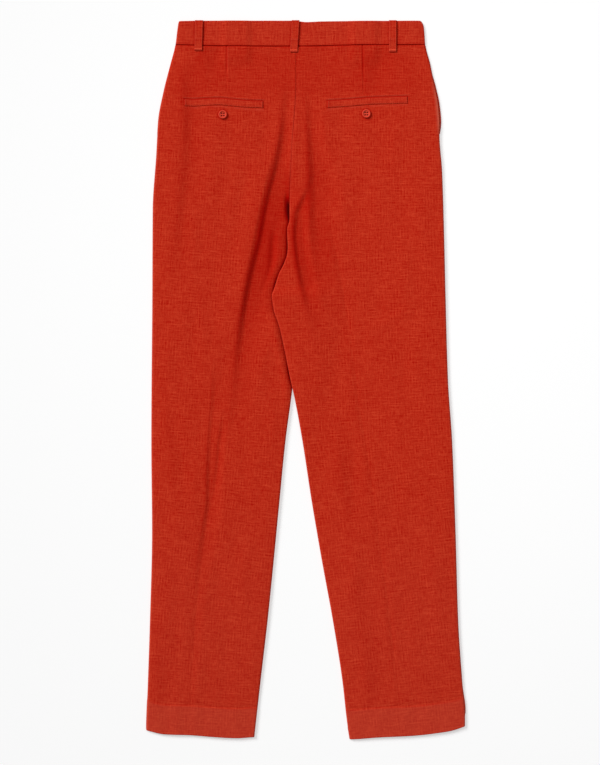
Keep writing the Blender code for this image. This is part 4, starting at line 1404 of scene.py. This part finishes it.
def flyLine(width=33.0, bendDrop=168.0, bendLength=36.0):
    # straight down beside the centre front, then round into the seam
    straight = np.linspace(bandDepth + mouths["stitchStart"], bendDrop, 60)
    bend = np.radians(np.linspace(0.0, 90.0, 24))[1:]
    x = np.concatenate((centreFront(straight) - width, centreFront(bendDrop) - width * np.cos(bend)))
    return onFront(x, np.concatenate((straight, bendDrop + bendLength * np.sin(bend))))


frontStitches = [
    sew("frontStitchesLeft", [mouthLine(leftMouthX, 1), flyLine()], "topstitch", topThread, 91),
    sew("frontStitchesRight", [mouthLine(rightMouthX, -1)], "topstitch", topThread, 92),
]
frontTacks = []
for name, x0, endDrop, _ in loops["front"]:
    lines = [place(x0 + np.linspace(-4.2, 4.2, 18), at, 0.1) for at in (3.5, endDrop - 2.2)]
    frontTacks.append(sew(name + "Tacks", lines, "bartack", topThread, 95))
print("sewing done")


# every piece rides on the one body and stands in for its node, which is hidden

replacedBy = [
    (backLeft, "back_left"), (backRight, "back_right"), (frontLeft, "front_left"),
    (frontRight, "front_right"), (facingLeft, "pocket_facing_left"),
    (facingRight, "pocket_facing_right"), (waistbandBack, "waistband_back"),
    (waistbandFrontLeft, "waistband_front_left"), (waistbandFrontRight, "waistband_front_right"),
]
replacedBy += [(piece, "welt_" + side) for side, piece in weltPieces.items()]
replacedBy += [(piece, "button_" + side) for side, piece in buttons.items()]
replacedBy += [(piece, loop[-1]) for piece, loop in zip(backLoops, loops["back"])]
replacedBy += [(piece, loop[-1]) for piece, loop in zip(frontLoops, loops["front"])]
for piece, node in replacedBy:
    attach(piece, "root")
    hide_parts(node)
for piece in loopSewing + frontTacks + frontStitches + pocketSewing["left"] + pocketSewing["right"]:
    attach(piece, "root")


def declareSheet(piece):
    # the flat cut of what shows: its box, and its area between its edges
    points = np.empty(len(piece.data.vertices) * 3)
    piece.data.vertices.foreach_get("co", points)
    wide, long, _ = (float(size) for size in np.ptp(points.reshape(-1, 3), axis=0))
    area = sum(polygon.area for polygon in piece.data.polygons) / 2.0
    print(piece.name, "cut", round(wide * 1000), "x", round(long * 1000), "mm, area", round(area, 4))


declareSheet(frontLeft)
declareSheet(frontRight)
declareSheet(backLeft)
declareSheet(
    backRight
)
declareSheet(waistbandBack)
declareSheet(waistbandFrontLeft)
declareSheet(waistbandFrontRight)
print("pieces declared")


# floor, light and camera

studio = {
    "floor": (0.5, 0.5, 0.5), "floorGlow": 0.5, "floorReach": 30.0, "floorZ": -0.0002,
    "sun": 3.2, "sunAngle": 24.0, "sunFrom": (-0.66, 0.52, 0.53), "sky": 0.225,
    "fill": 4.95, "fillAt": (0.22, 0.42, 1.3), "fillSize": 0.9,
    "lens": 100.0, "sensor": 36.0, "eye": (-0.0085, -0.0039, 3.081),
}
white = (1.0, 1.0, 1.0, 1.0)

floorMesh = bpy.data.meshes.new("floor")
corners = [(x * studio["floorReach"], y * studio["floorReach"], studio["floorZ"])
           for x, y in ((-1, -1), (1, -1), (1, 1), (-1, 1))]
floorMesh.from_pydata(corners, [], [(0, 1, 2, 3)])
floorPaint, floorTree, floorShader = newMaterial("floor paper")
feed(floorTree, floorShader, {
    "Base Color": (*studio["floor"], 1.0), "Roughness": 0.9, "Specular IOR Level": 0.1,
    "Emission Color": white, "Emission Strength": studio["floorGlow"],
})
floorMesh.materials.append(floorPaint)
newObject("floor", floorMesh)

world = bpy.data.worlds.new("studio")
world.use_nodes = True
feed(world.node_tree, world.node_tree.nodes["Background"], {"Color": white, "Strength": studio["sky"]})
bpy.context.scene.world = world


def lamp(name, kind, power, toward, **settings):
    light = bpy.data.lights.new(name, kind)
    light.energy = power
    for key, value in settings.items():
        setattr(light, key, value)
    made = newObject(name, light)
    made.rotation_euler = Vector(toward).to_track_quat("Z", "Y").to_euler()
    return made


lamp("window", "SUN", studio["sun"], studio["sunFrom"], angle=math.radians(studio["sunAngle"]))
fill = lamp("fill", "AREA", studio["fill"], studio["fillAt"], shape="DISK", size=studio["fillSize"])
fill.location = studio["fillAt"]

camera = bpy.data.cameras.new("camera")
camera.lens = studio["lens"]
camera.sensor_width = studio["sensor"]
bpy.context.scene.camera = newObject("camera", camera)
bpy.context.scene.camera.location = studio["eye"]
bpy.context.scene.view_settings.view_transform = "Standard"
print("studio set")
